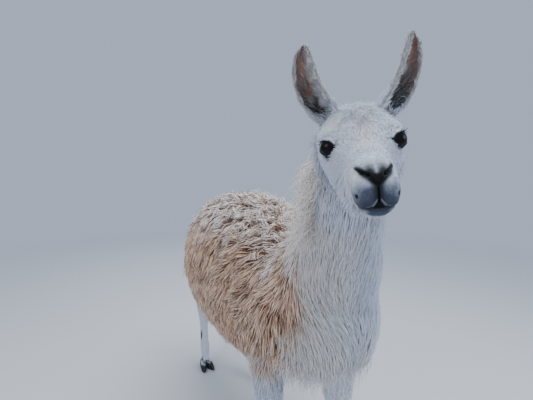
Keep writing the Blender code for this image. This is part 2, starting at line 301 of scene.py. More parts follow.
foreLeg = [  # x is counted outwards from the leg's own line, y backwards from the foot
    (0, 0.004, 0.045, 0, 0.029, 0.029, 0.029), (0, 0.010, 0.085, 0, 0.030, 0.030, 0.032),
    (0, 0.014, 0.120, 0, 0.033, 0.034, 0.036), (0, 0.014, 0.185, 0, 0.030, 0.030, 0.031),
    (0, 0.012, 0.280, 0, 0.034, 0.034, 0.034), (0, 0.008, 0.360, 0, 0.046, 0.044, 0.042),
    (0, 0.010, 0.415, 0, 0.050, 0.048, 0.048), (0.006, 0.018, 0.500, 0, 0.057, 0.060, 0.062),
    (0.002, 0.028, 0.590, 0, 0.065, 0.076, 0.082), (-0.012, 0.040, 0.690, 0, 0.069, 0.088, 0.092),
]
hindLeg = [
    (0, 0.002, 0.045, 0, 0.027, 0.027, 0.027), (0, 0.008, 0.085, 0, 0.028, 0.029, 0.030),
    (0, 0.014, 0.120, 0, 0.031, 0.033, 0.033), (0, 0.020, 0.190, 0, 0.027, 0.028, 0.029),
    (0, 0.032, 0.290, 0, 0.029, 0.032, 0.033), (0.002, 0.046, 0.362, 0, 0.036, 0.040, 0.046),
    (0.004, 0.036, 0.425, 0, 0.047, 0.053, 0.058), (0.008, -0.010, 0.505, 0, 0.074, 0.094, 0.096),
    (0.014, -0.070, 0.600, 0, 0.096, 0.136, 0.128), (0, -0.120, 0.710, 0, 0.098, 0.144, 0.128),
]
legs = {
    # name: side, foot x, foot y, reach, extra wool round the knee, stations
    "foreRight": (-1, -0.142, 0.000, 0.0, 0.0, foreLeg),
    "foreLeft": (1, 0.130, -0.055, 0.030, 0.22, foreLeg),
    "hindRight": (-1, -0.085, 1.000, 0.0, 0.0, hindLeg),
    "hindLeft": (1, 0.158, 0.690, 0.240, 0.0, hindLeg),
}
kneeWool = {"z": 0.43, "reach": 0.13}
legCoat = 0.006
legSteps = 241
toe = {
    "spread": 0.0162,  # each toe's line is this far from the foot's own
    "stagger": 0.0007,  # the outer toe of a pair lies this far back, the inner one as far forward
    "splay": 0.16,
    "waist": 0.35,  # height of the widest line as a share of the toe's
    "rows": [  # y, half width, height
        (-0.0630, 0.0052, 0.013), (-0.0580, 0.0112, 0.021), (-0.0420, 0.0152, 0.029),
        (-0.0180, 0.0170, 0.041), (0.0090, 0.0178, 0.050), (0.0310, 0.0162, 0.048), (0.0420, 0.0090, 0.034),
    ],
    "squareness": 2.5,
    "nail": [  # y, middle height, half width, half height
        (-0.0800, 0.0072, 0.0017, 0.0020), (-0.0755, 0.0095, 0.0048, 0.0056),
        (-0.0670, 0.0130, 0.0074, 0.0092), (-0.0545, 0.0168, 0.0078, 0.0098),
    ],
    "nailSquareness": 2.2,
}
# The tables are in the animal's own frame: this carries them onto the CAD.
bodyShift = np.array([(trunkLow.x + trunkHigh.x) / 2, trunkLow.y - trunk["stations"][0][0], 0.0])


def trunkRings(count, sides, coat):
    # Upright ovals along the back, drawn in by the coat's depth on every side.
    y, top, belly, half = evenRows(trunk["stations"], count, [0, 1]).T[..., None]
    y = trunk["middleY"] + (y - trunk["middleY"]) * (1 - coat / trunk["halfLength"])
    top, belly = top - coat, belly + coat
    across, upward = oval(turns(sides), trunk["squareness"])
    middle = top * trunk["widest"] + belly * (1 - trunk["widest"])
    z = middle + np.where(upward > 0, (top - middle) * upward, (middle - belly) * upward)
    half = np.maximum(half - coat, 0.003)
    x = half * across * (1 - trunk["topNarrowing"] * np.clip(upward, 0, 1) ** 2)
    return gridOf(x, y, z)


def partRings(part, count, sides):
    # Rings along the neck's or tail's path, drawn in by the part's own depth of coat.
    rows = evenRows(part["stations"], count, [0, 1, 2])
    rows[:, 4:] = np.maximum(rows[:, 4:] - part["coat"], 0.004)
    return limbRings(rows, turns(sides))


def legRings(name, low, high, count, sides):
    # One leg between two heights of its path, each ring square to the whole leg's line.
    side, footX, footY, reach, wool, stations = legs[name]
    table = np.array(stations, float)
    table[:, 0] = footX + side * table[:, 0]
    table[:, 1] += footY + reach * table[:, 2] / table[-1, 2]
    rows = alongTable(table, np.linspace(0, len(table) - 1, legSteps))
    rows[:, 4:] *= 1 + wool * bell(rows[:, 2:3] - kneeWool["z"], kneeWool["reach"])
    rows[:, 4:] -= legCoat
    rings = limbRings(rows, turns(sides))
    place = np.interp(np.linspace(low, high, count), rows[:, 2], np.arange(legSteps))
    first = np.minimum(place.astype(int), legSteps - 2)
    part = (place - first)[:, None, None]
    return rings[first] * (1 - part) + rings[first + 1] * part


def toeLine(name, toeSide, y):
    # x of a toe's middle line: its spread from the foot's own, wider towards the tip.
    return legs[name][1] + toeSide * (toe["spread"] - toe["splay"] * y)


def toeRings(name, toeSide, count=22, sides=24):
    # A padded toe, round above and flat on the floor below.
    y, half, height = evenRows(toe["rows"], count, [0, 1, 2]).T[..., None]
    across, upward = oval(turns(sides), toe["squareness"])
    above = toe["waist"] + (1 - toe["waist"]) * upward
    below = toe["waist"] * (1 + 3 * upward)
    z = height * np.clip(np.where(upward > 0, above, below), 0, None)
    return gridOf(toeLine(name, toeSide, y) + half * across, legs[name][2] + y + toe["stagger"] * toeSide, z)


def nailRings(name, toeSide, count=10, sides=16):
    # A short curved nail that carries on the toe's top line and ends just above the floor.
    y, middle, half, rise = evenRows(toe["nail"], count, [0, 1]).T[..., None]
    across, upward = oval(turns(sides), toe["nailSquareness"])
    return gridOf(toeLine(name, toeSide, y) + half * across, legs[name][2] + y, middle + rise * upward)


head = {
    "place": (-0.204, -0.500, 1.283),
    "turn": (3.1, -6.2, -35.8),
    "squareness": 2.3,
    "stations": [  # y, middle z, half width, rise, drop
        (-0.1790, -0.067, 0.0010, 0.001, 0.001), (-0.1780, -0.066, 0.0100, 0.012, 0.014),
        (-0.1720, -0.067, 0.0240, 0.026, 0.034), (-0.1560, -0.066, 0.0345, 0.037, 0.046),
        (-0.1320, -0.061, 0.0390, 0.043, 0.052), (-0.1000, -0.053, 0.0410, 0.046, 0.060),
        (-0.0650, -0.042, 0.0470, 0.050, 0.069), (-0.0300, -0.027, 0.0640, 0.059, 0.083),
        (0.0050, -0.012, 0.0830, 0.074, 0.098), (0.0450, 0.000, 0.0890, 0.083, 0.112),
        (0.0850, -0.004, 0.0830, 0.082, 0.112), (0.1200, -0.016, 0.0640, 0.064, 0.084),
        (0.1380, -0.025, 0.0300, 0.032, 0.040),
    ],
    "narrowing": (0.20, 0.10),  # of the width, below and above
    # depth of the short hair at these y
    "coatY": (-0.17, -0.12, -0.05, 0.03, 0.10),
    "coatDepth": (0.0012, 0.0018, 0.0035, 0.0060, 0.0110),
    "rowStepY": (-0.18, -0.11, -0.08, -0.045, -0.03, 0.03, 0.05, 0.14),
    "rowStep": (0.0012, 0.0013, 0.0022, 0.0018, 0.0014, 0.0016, 0.0030, 0.0050),
    "eyeZone": (12, 26),  # degrees above the side, and half the band of finer columns
    "eyeColumns": 44,
    "otherColumns": 118,
}
eye = {
    "place": (0.0615, -0.0140, 0.0010),
    "radius": 0.0195,
    "gaze": (0.74, -0.67, 0.02),
    "opening": 64,  # degrees from the middle to each corner
    "upper": (44, 2.5),  # degrees to the upper lid's edge, and how full its arch is
    "lower": (37, 1.4),
    "tilt": 7,
    "lid": 0.0012,
    "blend": (3, 28),  # degrees beyond the lids' edge over which they join the face
    "socket": 0.80,  # the skin behind the ball, as a share of its radius
    "cornea": (0.0008, 0.62),  # height and reach of the clear dome
    "iris": 0.66,
    "pupil": (0.34, 0.16),
    "ball": (60, 64),  # rings and sides
}
# x, y, z, radius, height: soft swellings and hollows, mirrored where x isn't 0
swellings = [
    (0.070, 0.004, 0.027, 0.024, 0.0070), (0.054, -0.034, -0.040, 0.026, -0.0040),
    (0.026, -0.150, -0.096, 0.022, 0.0040), (0, -0.128, -0.116, 0.022, 0.003),
    (0, -0.098, -0.002, 0.026, 0.004), (0, 0.050, 0.084, 0.045, 0.006),
    # finer forms that only the skin shows
    (0.013, -0.176, -0.078, 0.0085, 0.0022), (0.026, -0.160, -0.074, 0.013, 0.0020),
    (0.019, -0.168, -0.052, 0.008, 0.0016), (0.017, -0.160, -0.034, 0.009, 0.0018),
    (0, -0.168, -0.112, 0.011, 0.0026), (0.020, -0.030, 0.030, 0.016, 0.0016),
    (0.033, -0.135, -0.058, 0.012, -0.0012), (0.040, -0.090, -0.072, 0.016, 0.0018),
    (0, -0.146, -0.026, 0.020, 0.0026), (0.030, -0.100, -0.020, 0.016, -0.0022),
    (0.072, -0.008, 0.030, 0.014, 0.0016),
]
# name: width, depth, path in the head's frame; each is cut on both sides
grooves = {
    "nostril": (0.0030, 0.0062, [
        (0.0325, -0.1380, -0.0318), (0.0300, -0.1460, -0.0350), (0.0215, -0.1620, -0.0425),
        (0.0135, -0.1705, -0.0462)]),
    "nostrilFold": (0.0020, 0.0022, [
        (0.0135, -0.1705, -0.0455), (0.0075, -0.1755, -0.0525), (0.0020, -0.1785, -0.0600)]),
    "philtrum": (0.0017, 0.0030, [
        (0, -0.1790, -0.0600), (0, -0.1795, -0.0720), (0, -0.1770, -0.0865)]),
    "mouth": (0.0019, 0.0040, [
        (0.0100, -0.1725, -0.0965), (0.0160, -0.1685, -0.0985), (0.0240, -0.1610, -0.0995),
        (0.0320, -0.1440, -0.0975), (0.0370, -0.1240, -0.0920), (0.0385, -0.1120, -0.0860)]),
    "faceCrease": (0.0075, 0.0016, [
        (0.0520, -0.0450, -0.0300), (0.0430, -0.0720, -0.0350), (0.0360, -0.0980, -0.0370)]),
    "tearFold": (0.0024, 0.0020, [
        (0.0520, -0.0340, 0.0045), (0.0450, -0.0430, 0.0040), (0.0385, -0.0500, 0.0050)]),
    "lidFold": (0.0026, 0.0014, [
        (0.0500, -0.0310, 0.0150), (0.0620, -0.0210, 0.0235), (0.0780, -0.0040, 0.0260)]),
    "underEye": (0.0040, 0.0012, [
        (0.0560, -0.0330, -0.0120), (0.0660, -0.0240, -0.0220), (0.0790, -0.0080, -0.0230)]),
    "cheek": (0.0100, 0.0016, [
        (0.0400, -0.1000, -0.0600), (0.0500, -0.0600, -0.0760), (0.0660, -0.0200, -0.0900)]),
}
# the three-cornered gap under the split of the upper lip: its top, how fast it widens, depth of the dent
mouthSplit = {"top": -0.0835, "widening": 0.62, "depth": 0.0042}
headMatrix = (
    Matrix.Translation(head["place"])
    @ Euler([math.radians(a) for a in head["turn"]], "YXZ").to_matrix().to_4x4()
)
headTurn = np.array(headMatrix.to_3x3())
headPlace = np.array(head["place"])


def toHead(points):
    # From the body's frame into the head's: moved to its origin, then turned back.
    return (points - headPlace) @ headTurn


def fromHead(points):
    # From the head's frame into the body's: turned, then moved.
    return points @ headTurn.T + headPlace


def folded(points):
    # x as the distance from the middle plane, with y and z, stacked as points.
    return np.concatenate([np.abs(points[..., :1]), points[..., 1:]], axis=-1)


def pathDistance(points, path):
    # Shortest distance from each point, folded over to the left side, to a line of segments.
    at = folded(points)
    best = np.full(at.shape[:-1], 9.0)
    for start, end in zip(np.array(path[:-1]), np.array(path[1:])):
        step = end - start
        share = np.clip(((at - start) @ step) / (step @ step), 0, 1)[..., None]
        best = np.minimum(best, np.linalg.norm(at - start - share * step, axis=-1))
    return best


def grooveAt(points, name, widen=1.0):
    # 1 along the named groove, falling away as a bell to either side.
    width, _, path = grooves[name]
    return bell(pathDistance(points, path), width * widen)


def mouthGap(points):
    # 1 where the distance from the middle is less than the gap's half width, which grows downwards.
    x, y, z = np.moveaxis(folded(points), -1, 0)
    under = smooth(0.0010, -0.0014, x - mouthSplit["widening"] * (mouthSplit["top"] - z))
    return under * smooth(-0.0992, -0.0972, z) * smooth(-0.150, -0.162, y)


def gridNormals(rings):
    # Cross product of the grid's two directions, wrapped round the ring, facing away from the ring's middle.
    along = np.gradient(rings, axis=0)
    around = np.roll(rings, -1, axis=1) - np.roll(rings, 1, axis=1)
    normals = unit(np.cross(around, along))
    outward = ((rings - rings.mean(1, keepdims=True)) * normals).sum(-1, keepdims=True)
    return normals * np.sign(outward.sum(1, keepdims=True))


def headColumns():
    # Angles round the head, closer together in a band over each eye.
    middle, half = (math.radians(a) for a in head["eyeZone"])
    band = np.linspace(-half, half, head["eyeColumns"], endpoint=False)
    upperCount = int(head["otherColumns"] * (math.pi - 2 * (middle + half)) / (2 * math.pi - 4 * half))
    upper = np.linspace(middle + half, math.pi - middle - half, upperCount, endpoint=False)
    lowerCount = head["otherColumns"] - upperCount
    lower = np.linspace(math.pi - middle + half, 2 * math.pi + middle - half, lowerCount, endpoint=False)
    return np.concatenate([band + middle, upper, band + math.pi - middle, lower])


def headRows():
    # The profile's rows, at steps that follow the wanted size at each y.
    table = np.array(head["stations"])
    dense = np.linspace(0, len(table) - 1, 3000)
    rows = alongTable(table, dense)
    line = np.stack([rows[:, 0], rows[:, 1] + rows[:, 3], rows[:, 2]], axis=1)
    run = runOf(line, np.interp(rows[:, 0], head["rowStepY"], head["rowStep"])[1:])
    return alongTable(table, np.interp(np.linspace(0, run[-1], int(run[-1])), run, dense))


def eyeCentre(side):
    # The middle of the ball on one side.
    return np.array(eye["place"]) * (side, 1, 1)


def eyeAxes(side):
    # The way the eye looks, the way to its inner corner, and its own upward way.
    gaze = unit(np.array(eye["gaze"]) * (side, 1, 1))
    inner = unit(np.cross(gaze, (0, 0, 1)))
    inner = inner * -np.sign(inner[1])
    up = np.cross(inner, gaze)
    up = up * np.sign(up[2])
    tilt = math.radians(eye["tilt"])
    return gaze, inner * math.cos(tilt) - up * math.sin(tilt), up * math.cos(tilt) + inner * math.sin(tilt)


def eyeLevels(points, side):
    # Distance from the ball's middle, how far out the direction lies (1 on the lids' edge),
    # and the angle by which it passes that edge.
    fromEye = points - eyeCentre(side)
    distance = np.maximum(np.linalg.norm(fromEye, axis=-1), 1e-6)
    gaze, inner, up = eyeAxes(side)
    toCorner = np.arctan2(fromEye @ inner, fromEye @ gaze) / math.radians(eye["opening"])
    rise = np.arcsin(np.clip((fromEye @ up) / distance, -1, 1))
    reach, power = (np.where(rise > 0, above, below) for above, below in zip(eye["upper"], eye["lower"]))
    level = (np.abs(toCorner) ** power + np.abs(rise / np.radians(reach)) ** power) ** (1 / power)
    aside = np.arccos(np.clip((fromEye @ gaze) / distance, -1, 1))
    beyond = np.degrees(aside * (1 - 1 / np.maximum(level, 1e-3)))
    return distance, level, beyond, fromEye


def lidEdge(side, angles, out):
    # Points along the lids' edge, at a distance out from the ball, and each one's direction from its middle.
    gaze, inner, up = eyeAxes(side)
    upward = np.sin(angles) > 0
    reach, power = (np.where(upward, above, below) for above, below in zip(eye["upper"], eye["lower"]))
    across, over = oval(angles, power)
    toCorner, rise = math.radians(eye["opening"]) * across, np.radians(reach) * over
    way = (
        (np.cos(rise) * np.cos(toCorner))[:, None] * gaze
        + (np.cos(rise) * np.sin(toCorner))[:, None] * inner
        + np.sin(rise)[:, None] * up
    )
    return eyeCentre(side) + way * (eye["radius"] + out), way


def headRings():
    # Ovals from the nose to the nape, narrower below, then swellings, grooves and the eyes' lids.
    y, middle, half, rise, drop = headRows().T[..., None]
    coat = np.interp(y, head["coatY"], head["coatDepth"])
    across, upward = oval(headColumns(), head["squareness"])
    half, rise, drop = (np.maximum(size - coat, 0.4 * size) for size in (half, rise, drop))
    below, above = head["narrowing"]
    narrowing = 1 - below * np.clip(-upward, 0, 1) ** 1.5 - above * np.clip(upward, 0, 1) ** 2
    z = middle + np.where(upward > 0, rise * upward, drop * upward)
    points = gridOf(half * across * narrowing, y + 0.6 * coat * (y < -0.16), z)
    normals = gridNormals(points)
    push = np.zeros(points.shape[:2])
    for *place, radius, height in swellings:
        for side in (-1, 1) if place[0] else (1,):
            away = np.linalg.norm(points - np.array(place) * (side, 1, 1), axis=2)
            push += height * bell(away, radius)
    points = points + normals * push[..., None]
    dent = sum(grooves[name][1] * grooveAt(points, name) for name in grooves)
    points = points - normals * (dent + mouthSplit["depth"] * mouthGap(points))[..., None]
    return liddedPoints(points)


def liddedPoints(points):
    # Round each eye the surface keeps its direction from the ball's middle, but not its distance:
    # it sinks behind the ball inside the opening, hugs it at the lids, and joins the face further out.
    radius = eye["radius"]
    sunk = eye["socket"] * radius
    for side in (-1, 1):
        distance, level, beyond, fromEye = eyeLevels(points, side)
        lid = radius + eye["lid"]
        joined = lid + (distance - lid) * smooth(*eye["blend"], beyond)
        joined = np.maximum(joined, radius + 0.5 * eye["lid"])
        wanted = sunk + (joined - sunk) * smooth(0.84, 1.04, level)
        share = 1 - smooth(2.6, 3.2, distance / radius)
        new = distance + (wanted - distance) * share
        points = eyeCentre(side) + fromEye * (new / distance)[..., None]
    return points


lidBead = {
    "out": 0.0004,
    "lower": 0.0011,
    "fuller": 0.0007,
    "steps": 960,
    "count": 96,
    "sides": 12,
    "rounds": 8,
}


def lidRings(side):
    # The thick edge of both lids: a round bead carried along the opening at even steps, fuller above.
    steps = lidBead["steps"]
    dense, _ = lidEdge(side, turns(steps), lidBead["out"])
    run = runOf(np.vstack([dense, dense[:1]]))
    at = np.interp(np.linspace(0, run[-1], lidBead["count"], endpoint=False), run, np.arange(steps + 1))
    middle = dense[np.round(at).astype(int) % steps]
    for _ in range(lidBead["rounds"]):  # rounds the corners
        middle = (np.roll(middle, 1, axis=0) + 2 * middle + np.roll(middle, -1, axis=0)) / 4
    way = unit(middle - eyeCentre(side))
    ahead = unit(np.roll(middle, -1, axis=0) - np.roll(middle, 1, axis=0))
    across = unit(np.cross(ahead, way))[:, None]
    bead = lidBead["lower"] + lidBead["fuller"] * smooth(-0.3, 0.3, way @ eyeAxes(side)[2])
    turn = turns(lidBead["sides"])[None, :, None]
    outward = np.cos(turn) * way[:, None] + np.sin(turn) * across
    return fromHead(middle[:, None] + bead[:, None, None] * outward)


ears = {
    # name: side, root, lean, facing, back
    "earRight": (-1, (-0.052, 0.056, 0.060), 17, -16, 4),
    "earLeft": (1, (0.054, 0.056, 0.060), 26, 34, 4),
}
ear = {
    "stations": [  # height, shift outwards, half width, cup
        (-0.012, -0.008, 0.0200, 0.017), (0.020, 0.004, 0.0265, 0.020), (0.055, 0.014, 0.0295, 0.018),
        (0.092, 0.015, 0.0285, 0.0155), (0.124, 0.010, 0.0250, 0.0125), (0.146, 0.003, 0.0190, 0.009),
        (0.158, -0.003, 0.0115, 0.006), (0.163, -0.006, 0.0050, 0.004),
    ],
    "wall": 0.0055,
    "coat": 0.0012,
    "tip": 0.162,
}


def earMatrix(name):
    # Leant to the side, turned to face, tipped back, and moved to the ear's root.
    side, root, lean, facing, back = ears[name]
    angles = (math.radians(-back), math.radians(side * lean), math.radians(facing))
    return Matrix.Translation(root) @ Euler(angles, "ZXY").to_matrix().to_4x4()


def carried(matrix, points):
    # The points through a 4 by 4 matrix: turned, then moved.
    matrix = np.array(matrix)
    return points @ matrix[:3, :3].T + matrix[:3, 3]


def toEar(name, points):
    # From the body's frame into one ear's own.
    return carried(earMatrix(name).inverted(), toHead(points))


def earRings(name, count=46, across=22):
    # Crescents stacked from the root to the tip: the outer curve, then the inner one back again.
    side = ears[name][0]
    height, shift, half, cup = evenRows(ear["stations"], count, [0, 1, 2]).T[..., None]
    half = half - ear["coat"]
    wall = np.minimum(ear["wall"], 0.6 * cup) - ear["coat"]
    turn = np.sin(np.linspace(-math.pi / 2, math.pi / 2, across))
    outerX, outerY = half * turn, cup * (1 - turn**2) - ear["coat"]
    innerX = 0.93 * (half - 0.35 * wall) * turn[::-1]
    innerY = 0.86 * cup * (1 - turn[::-1] ** 2) - wall - ear["coat"]
    x = side * shift + np.concatenate([outerX, innerX], axis=1)
    y = np.concatenate([outerY, innerY], axis=1) - 0.5 * cup
    return fromHead(carried(earMatrix(name), gridOf(x, y, height)))


def voxelled(objects, size, rounds):
    # One closed mesh over several overlapping ones, its steps smoothed away.
    points, faces = [], []
    for made in objects:
        count = sum(len(p) for p in points)
        points.append(pointsOf(made.data))
        faces += [[count + k for k in face.vertices] for face in made.data.polygons]
        bpy.data.objects.remove(made)
    body = objectOf("body", meshOf("merged", np.vstack(points), faces))
    remesh = body.modifiers.new("merge", "REMESH")
    remesh.mode = "VOXEL"
    remesh.voxel_size = size
    soften = body.modifiers.new("soften", "SMOOTH")
    soften.factor = 0.5
    soften.iterations = rounds
    return objectOf("body", settled(body))


def united(base, others):
    # The exact union of the base with each of the others in turn.
    for other in others:
        step = base.modifiers.new("join", "BOOLEAN")
        step.object = other
        step.operation = "UNION"
        step.solver = "EXACT"
    mesh = settled(base)
    for other in others:
        bpy.data.objects.remove(other)
    return mesh


skinBuild = {
    "voxel": 0.0095,
    "rounds": 6,
    "thighs": (0.385, 0.69, 30, 36),  # low, high, rings and sides
    "shanks": (0.0447, 0.405, 70, 36),
}


def makeSkinMesh():
    # The body's rough union, then the finer head, ears, shanks, toes and lids joined to it exactly.
    lofts = [
        gridObject("barrel", trunkRings(60, 64, trunk["coat"])),
        gridObject("neck", partRings(neck, 40, 48)),
        gridObject("tail", partRings(tail, 30, 28)),
    ]
    lofts += [gridObject("thigh", legRings(name, *skinBuild["thighs"])) for name in legs]
    body = voxelled(lofts, skinBuild["voxel"], skinBuild["rounds"])
    report("body merged")
    others = [gridObject("head", fromHead(headRings()))]
    others += [gridObject("ear", earRings(name)) for name in ears]
    others += [gridObject("shank", legRings(name, *skinBuild["shanks"])) for name in legs]
    others += [gridObject("toe", toeRings(name, side)) for name in legs for side in (-1, 1)]
    others += [objectOf("lid", meshOf("lid", *loopGrid(lidRings(side)))) for side in (-1, 1)]
    mesh = united(body, others)
    report(f"skin united, {len(mesh.polygons)} faces")
    return mesh


marks = {
    # y of the white shoulder's edge at this height, its slope, how fast it runs back lower down, its softness
    "shoulder": {"y": -0.170, "z": 0.72, "slope": -0.20, "armpit": 0.55, "soft": 0.030},
    "fawnHem": (0.570, 0.650),
    "flankHem": 0.065,  # the hem hangs lower by this along the flank
    "neckReach": (0.88, 0.98),
    "spots": [  # dark places on the hind legs' outer sides: height, half height, half width
        (0.201, 0.034, 0.013), (0.056, 0.014, 0.011)],
    "footDark": (0.046, 0.026),
}
frontBand = ("y", -0.125, -0.142)
splitBands = (("z", -0.0560, -0.0590), ("z", -0.0880, -0.0860), frontBand)
face = {
    # slits seen from the front that widen to a dark point above the lip's groove: path, half width at each x
    "wing": [(0.0340, 0, -0.0308), (0.0300, 0, -0.0350), (0.0215, 0, -0.0425), (0.0120, 0, -0.0472),
             (0, 0, -0.0562)],
    "wingX": (0, 0.006, 0.013, 0.022, 0.034),
    "wingReach": (0.0074, 0.0062, 0.0042, 0.0030, 0.0018),
    "lobe": {"x": 0.0095, "z": -0.0460, "wide": 0.0165, "tall": 0.0240, "fade": (1.32, 0.10)},
    "lipSpot": (0.0305, -0.1630, -0.0780),
    "lipSpotSize": 0.0034,
    "innerCorner": [(0.0530, -0.0330, 0.0020), (0.0570, -0.0300, 0.0030)],
    # painted shade in the lid's fold, from the eye's inner corner towards the nose
    "eyeFoldShade": [(0.0540, 0, 0.0040), (0.0450, 0, 0.0050), (0.0370, 0, 0.0075)],
    # painted shade under the brow, above the eye
    "brow": [(0.0500, 0, 0.0150), (0.0600, 0, 0.0215), (0.0720, 0, 0.0235)],
    "lipRim": [(0.0010, -0.1785, -0.0820), (0.0110, -0.1730, -0.0945), (0.0180, -0.1680, -0.0965)],
    # strength of a grey mark and the bands that it lies within
    "grey": [
        (0.85, ("x", 0.0150, 0.0015), *splitBands),
        (0.60, ("x", 0.0230, 0.0030), ("z", -0.0640, -0.0840), ("z", -0.1000, -0.0960), frontBand),
        (0.60, ("z", -0.0975, -0.1005), ("y", -0.138, -0.156), ("z", -0.1090, -0.0990), ("x", 0.026, 0.010)),
        (0.50, ("z", -0.076, -0.094), ("y", -0.140, -0.168), ("z", -0.1100, -0.0990)),
    ],
}


def ripple(points, size, seed):
    # A soft random field: eight sine waves of about one size in random directions, summed.
    maker = np.random.default_rng(seed)
    ways = unit(maker.normal(size=(8, 3))) * (2 * np.pi / size) * maker.uniform(0.6, 1.5, (8, 1))
    return np.sin(points @ ways.T + maker.uniform(0, 6.28, 8)).sum(-1) / 2.0


def neckAt(z):
    # The neck's middle x and y, half width, front and back depth at a height.
    rows = np.array(neck["stations"])
    return [np.interp(z, rows[:, 2], rows[:, k]) for k in (0, 1, 4, 5, 6)]


def neckLevel(points):
    # How far a point lies from the neck's line at its height, as a share of the neck's own size there.
    x, y, half, front, back = neckAt(points[..., 2])
    forward = points[..., 1] - y
    return np.hypot((points[..., 0] - x) / half, forward / np.where(forward > 0, back, front))


def fawnAt(points):
    # Fawn behind the shoulder's edge and above the hem; the legs and the rump's edge stay white.
    x, y, z = np.moveaxis(points, -1, 0)
    edge = marks["shoulder"]
    armpit = edge["armpit"] * np.clip(edge["z"] + 0.02 - z, 0, 0.2)
    edgeY = edge["y"] + edge["slope"] * (z - edge["z"]) + armpit + 0.012 * ripple(points, 0.10, 3)
    flank = marks["flankHem"] * smooth(0.06, 0.20, y) * smooth(0.86, 0.70, y)
    hem = smooth(*marks["fawnHem"], z + 0.022 * ripple(points, 0.12, 4) + flank)
    offNeck = neckLevel(points) + 0.03 * ripple(points, 0.05, 6) + smooth(1.01, 0.93, z)
    offNeck = smooth(*marks["neckReach"], offNeck)
    rump = 1 - 0.8 * smooth(0.93, 1.02, y)
    belly = 1 - 0.6 * smooth(0.09, 0.03, np.abs(x)) * smooth(0.75, 0.66, z)
    return smooth(0, edge["soft"], y - edgeY) * offNeck * hem * rump * belly


def frostAt(points):
    # Pale weathered tips along the top of the back.
    return smooth(0.905, 1.02, points[..., 2] + 0.03 * ripple(points, 0.13, 5))


def warmAt(points):
    # The white turns to cream down the neck's right side and along the breast's hem.
    z = points[..., 2]
    x, _, half, *_ = neckAt(z)
    side = smooth(0.20, -0.70, (points[..., 0] - x) / half + 0.12 * ripple(points, 0.12, 7))
    return np.maximum(0.9 * side, 0.8 * bell(z - 0.64, 0.10)) * smooth(0.50, 0.58, z)


def spotAt(points):
    # Ovals on the outer sides of the hind legs, each centred on the leg's line at its height.
    found = np.zeros(points.shape[:-1])
    for name in ("hindRight", "hindLeft"):
        side, footX, footY, reach, _, stations = legs[name]
        rows = np.array(stations)
        outer = side * (points[..., 0] - footX) > 0.004
        near = np.abs(points[..., 0] - footX) < 0.06
        for height, tall, wide in marks["spots"]:
            y = footY + reach * height / rows[-1, 2] + np.interp(height, rows[:, 2], rows[:, 1])
            away = ((points[..., 2] - height) / tall) ** 2 + ((points[..., 1] - y) / wide) ** 2
            found = np.maximum(found, (outer & near) * smooth(1.25, 0.7, away))
    return found


def within(points, *bands):
    # Product of soft steps: each goes from 0 to 1 along one axis, with x counted from the middle.
    at = dict(zip("xyz", np.moveaxis(folded(points), -1, 0)))
    share = 1.0
    for axis, low, high in bands:
        share = share * smooth(low, high, at[axis])
    return share


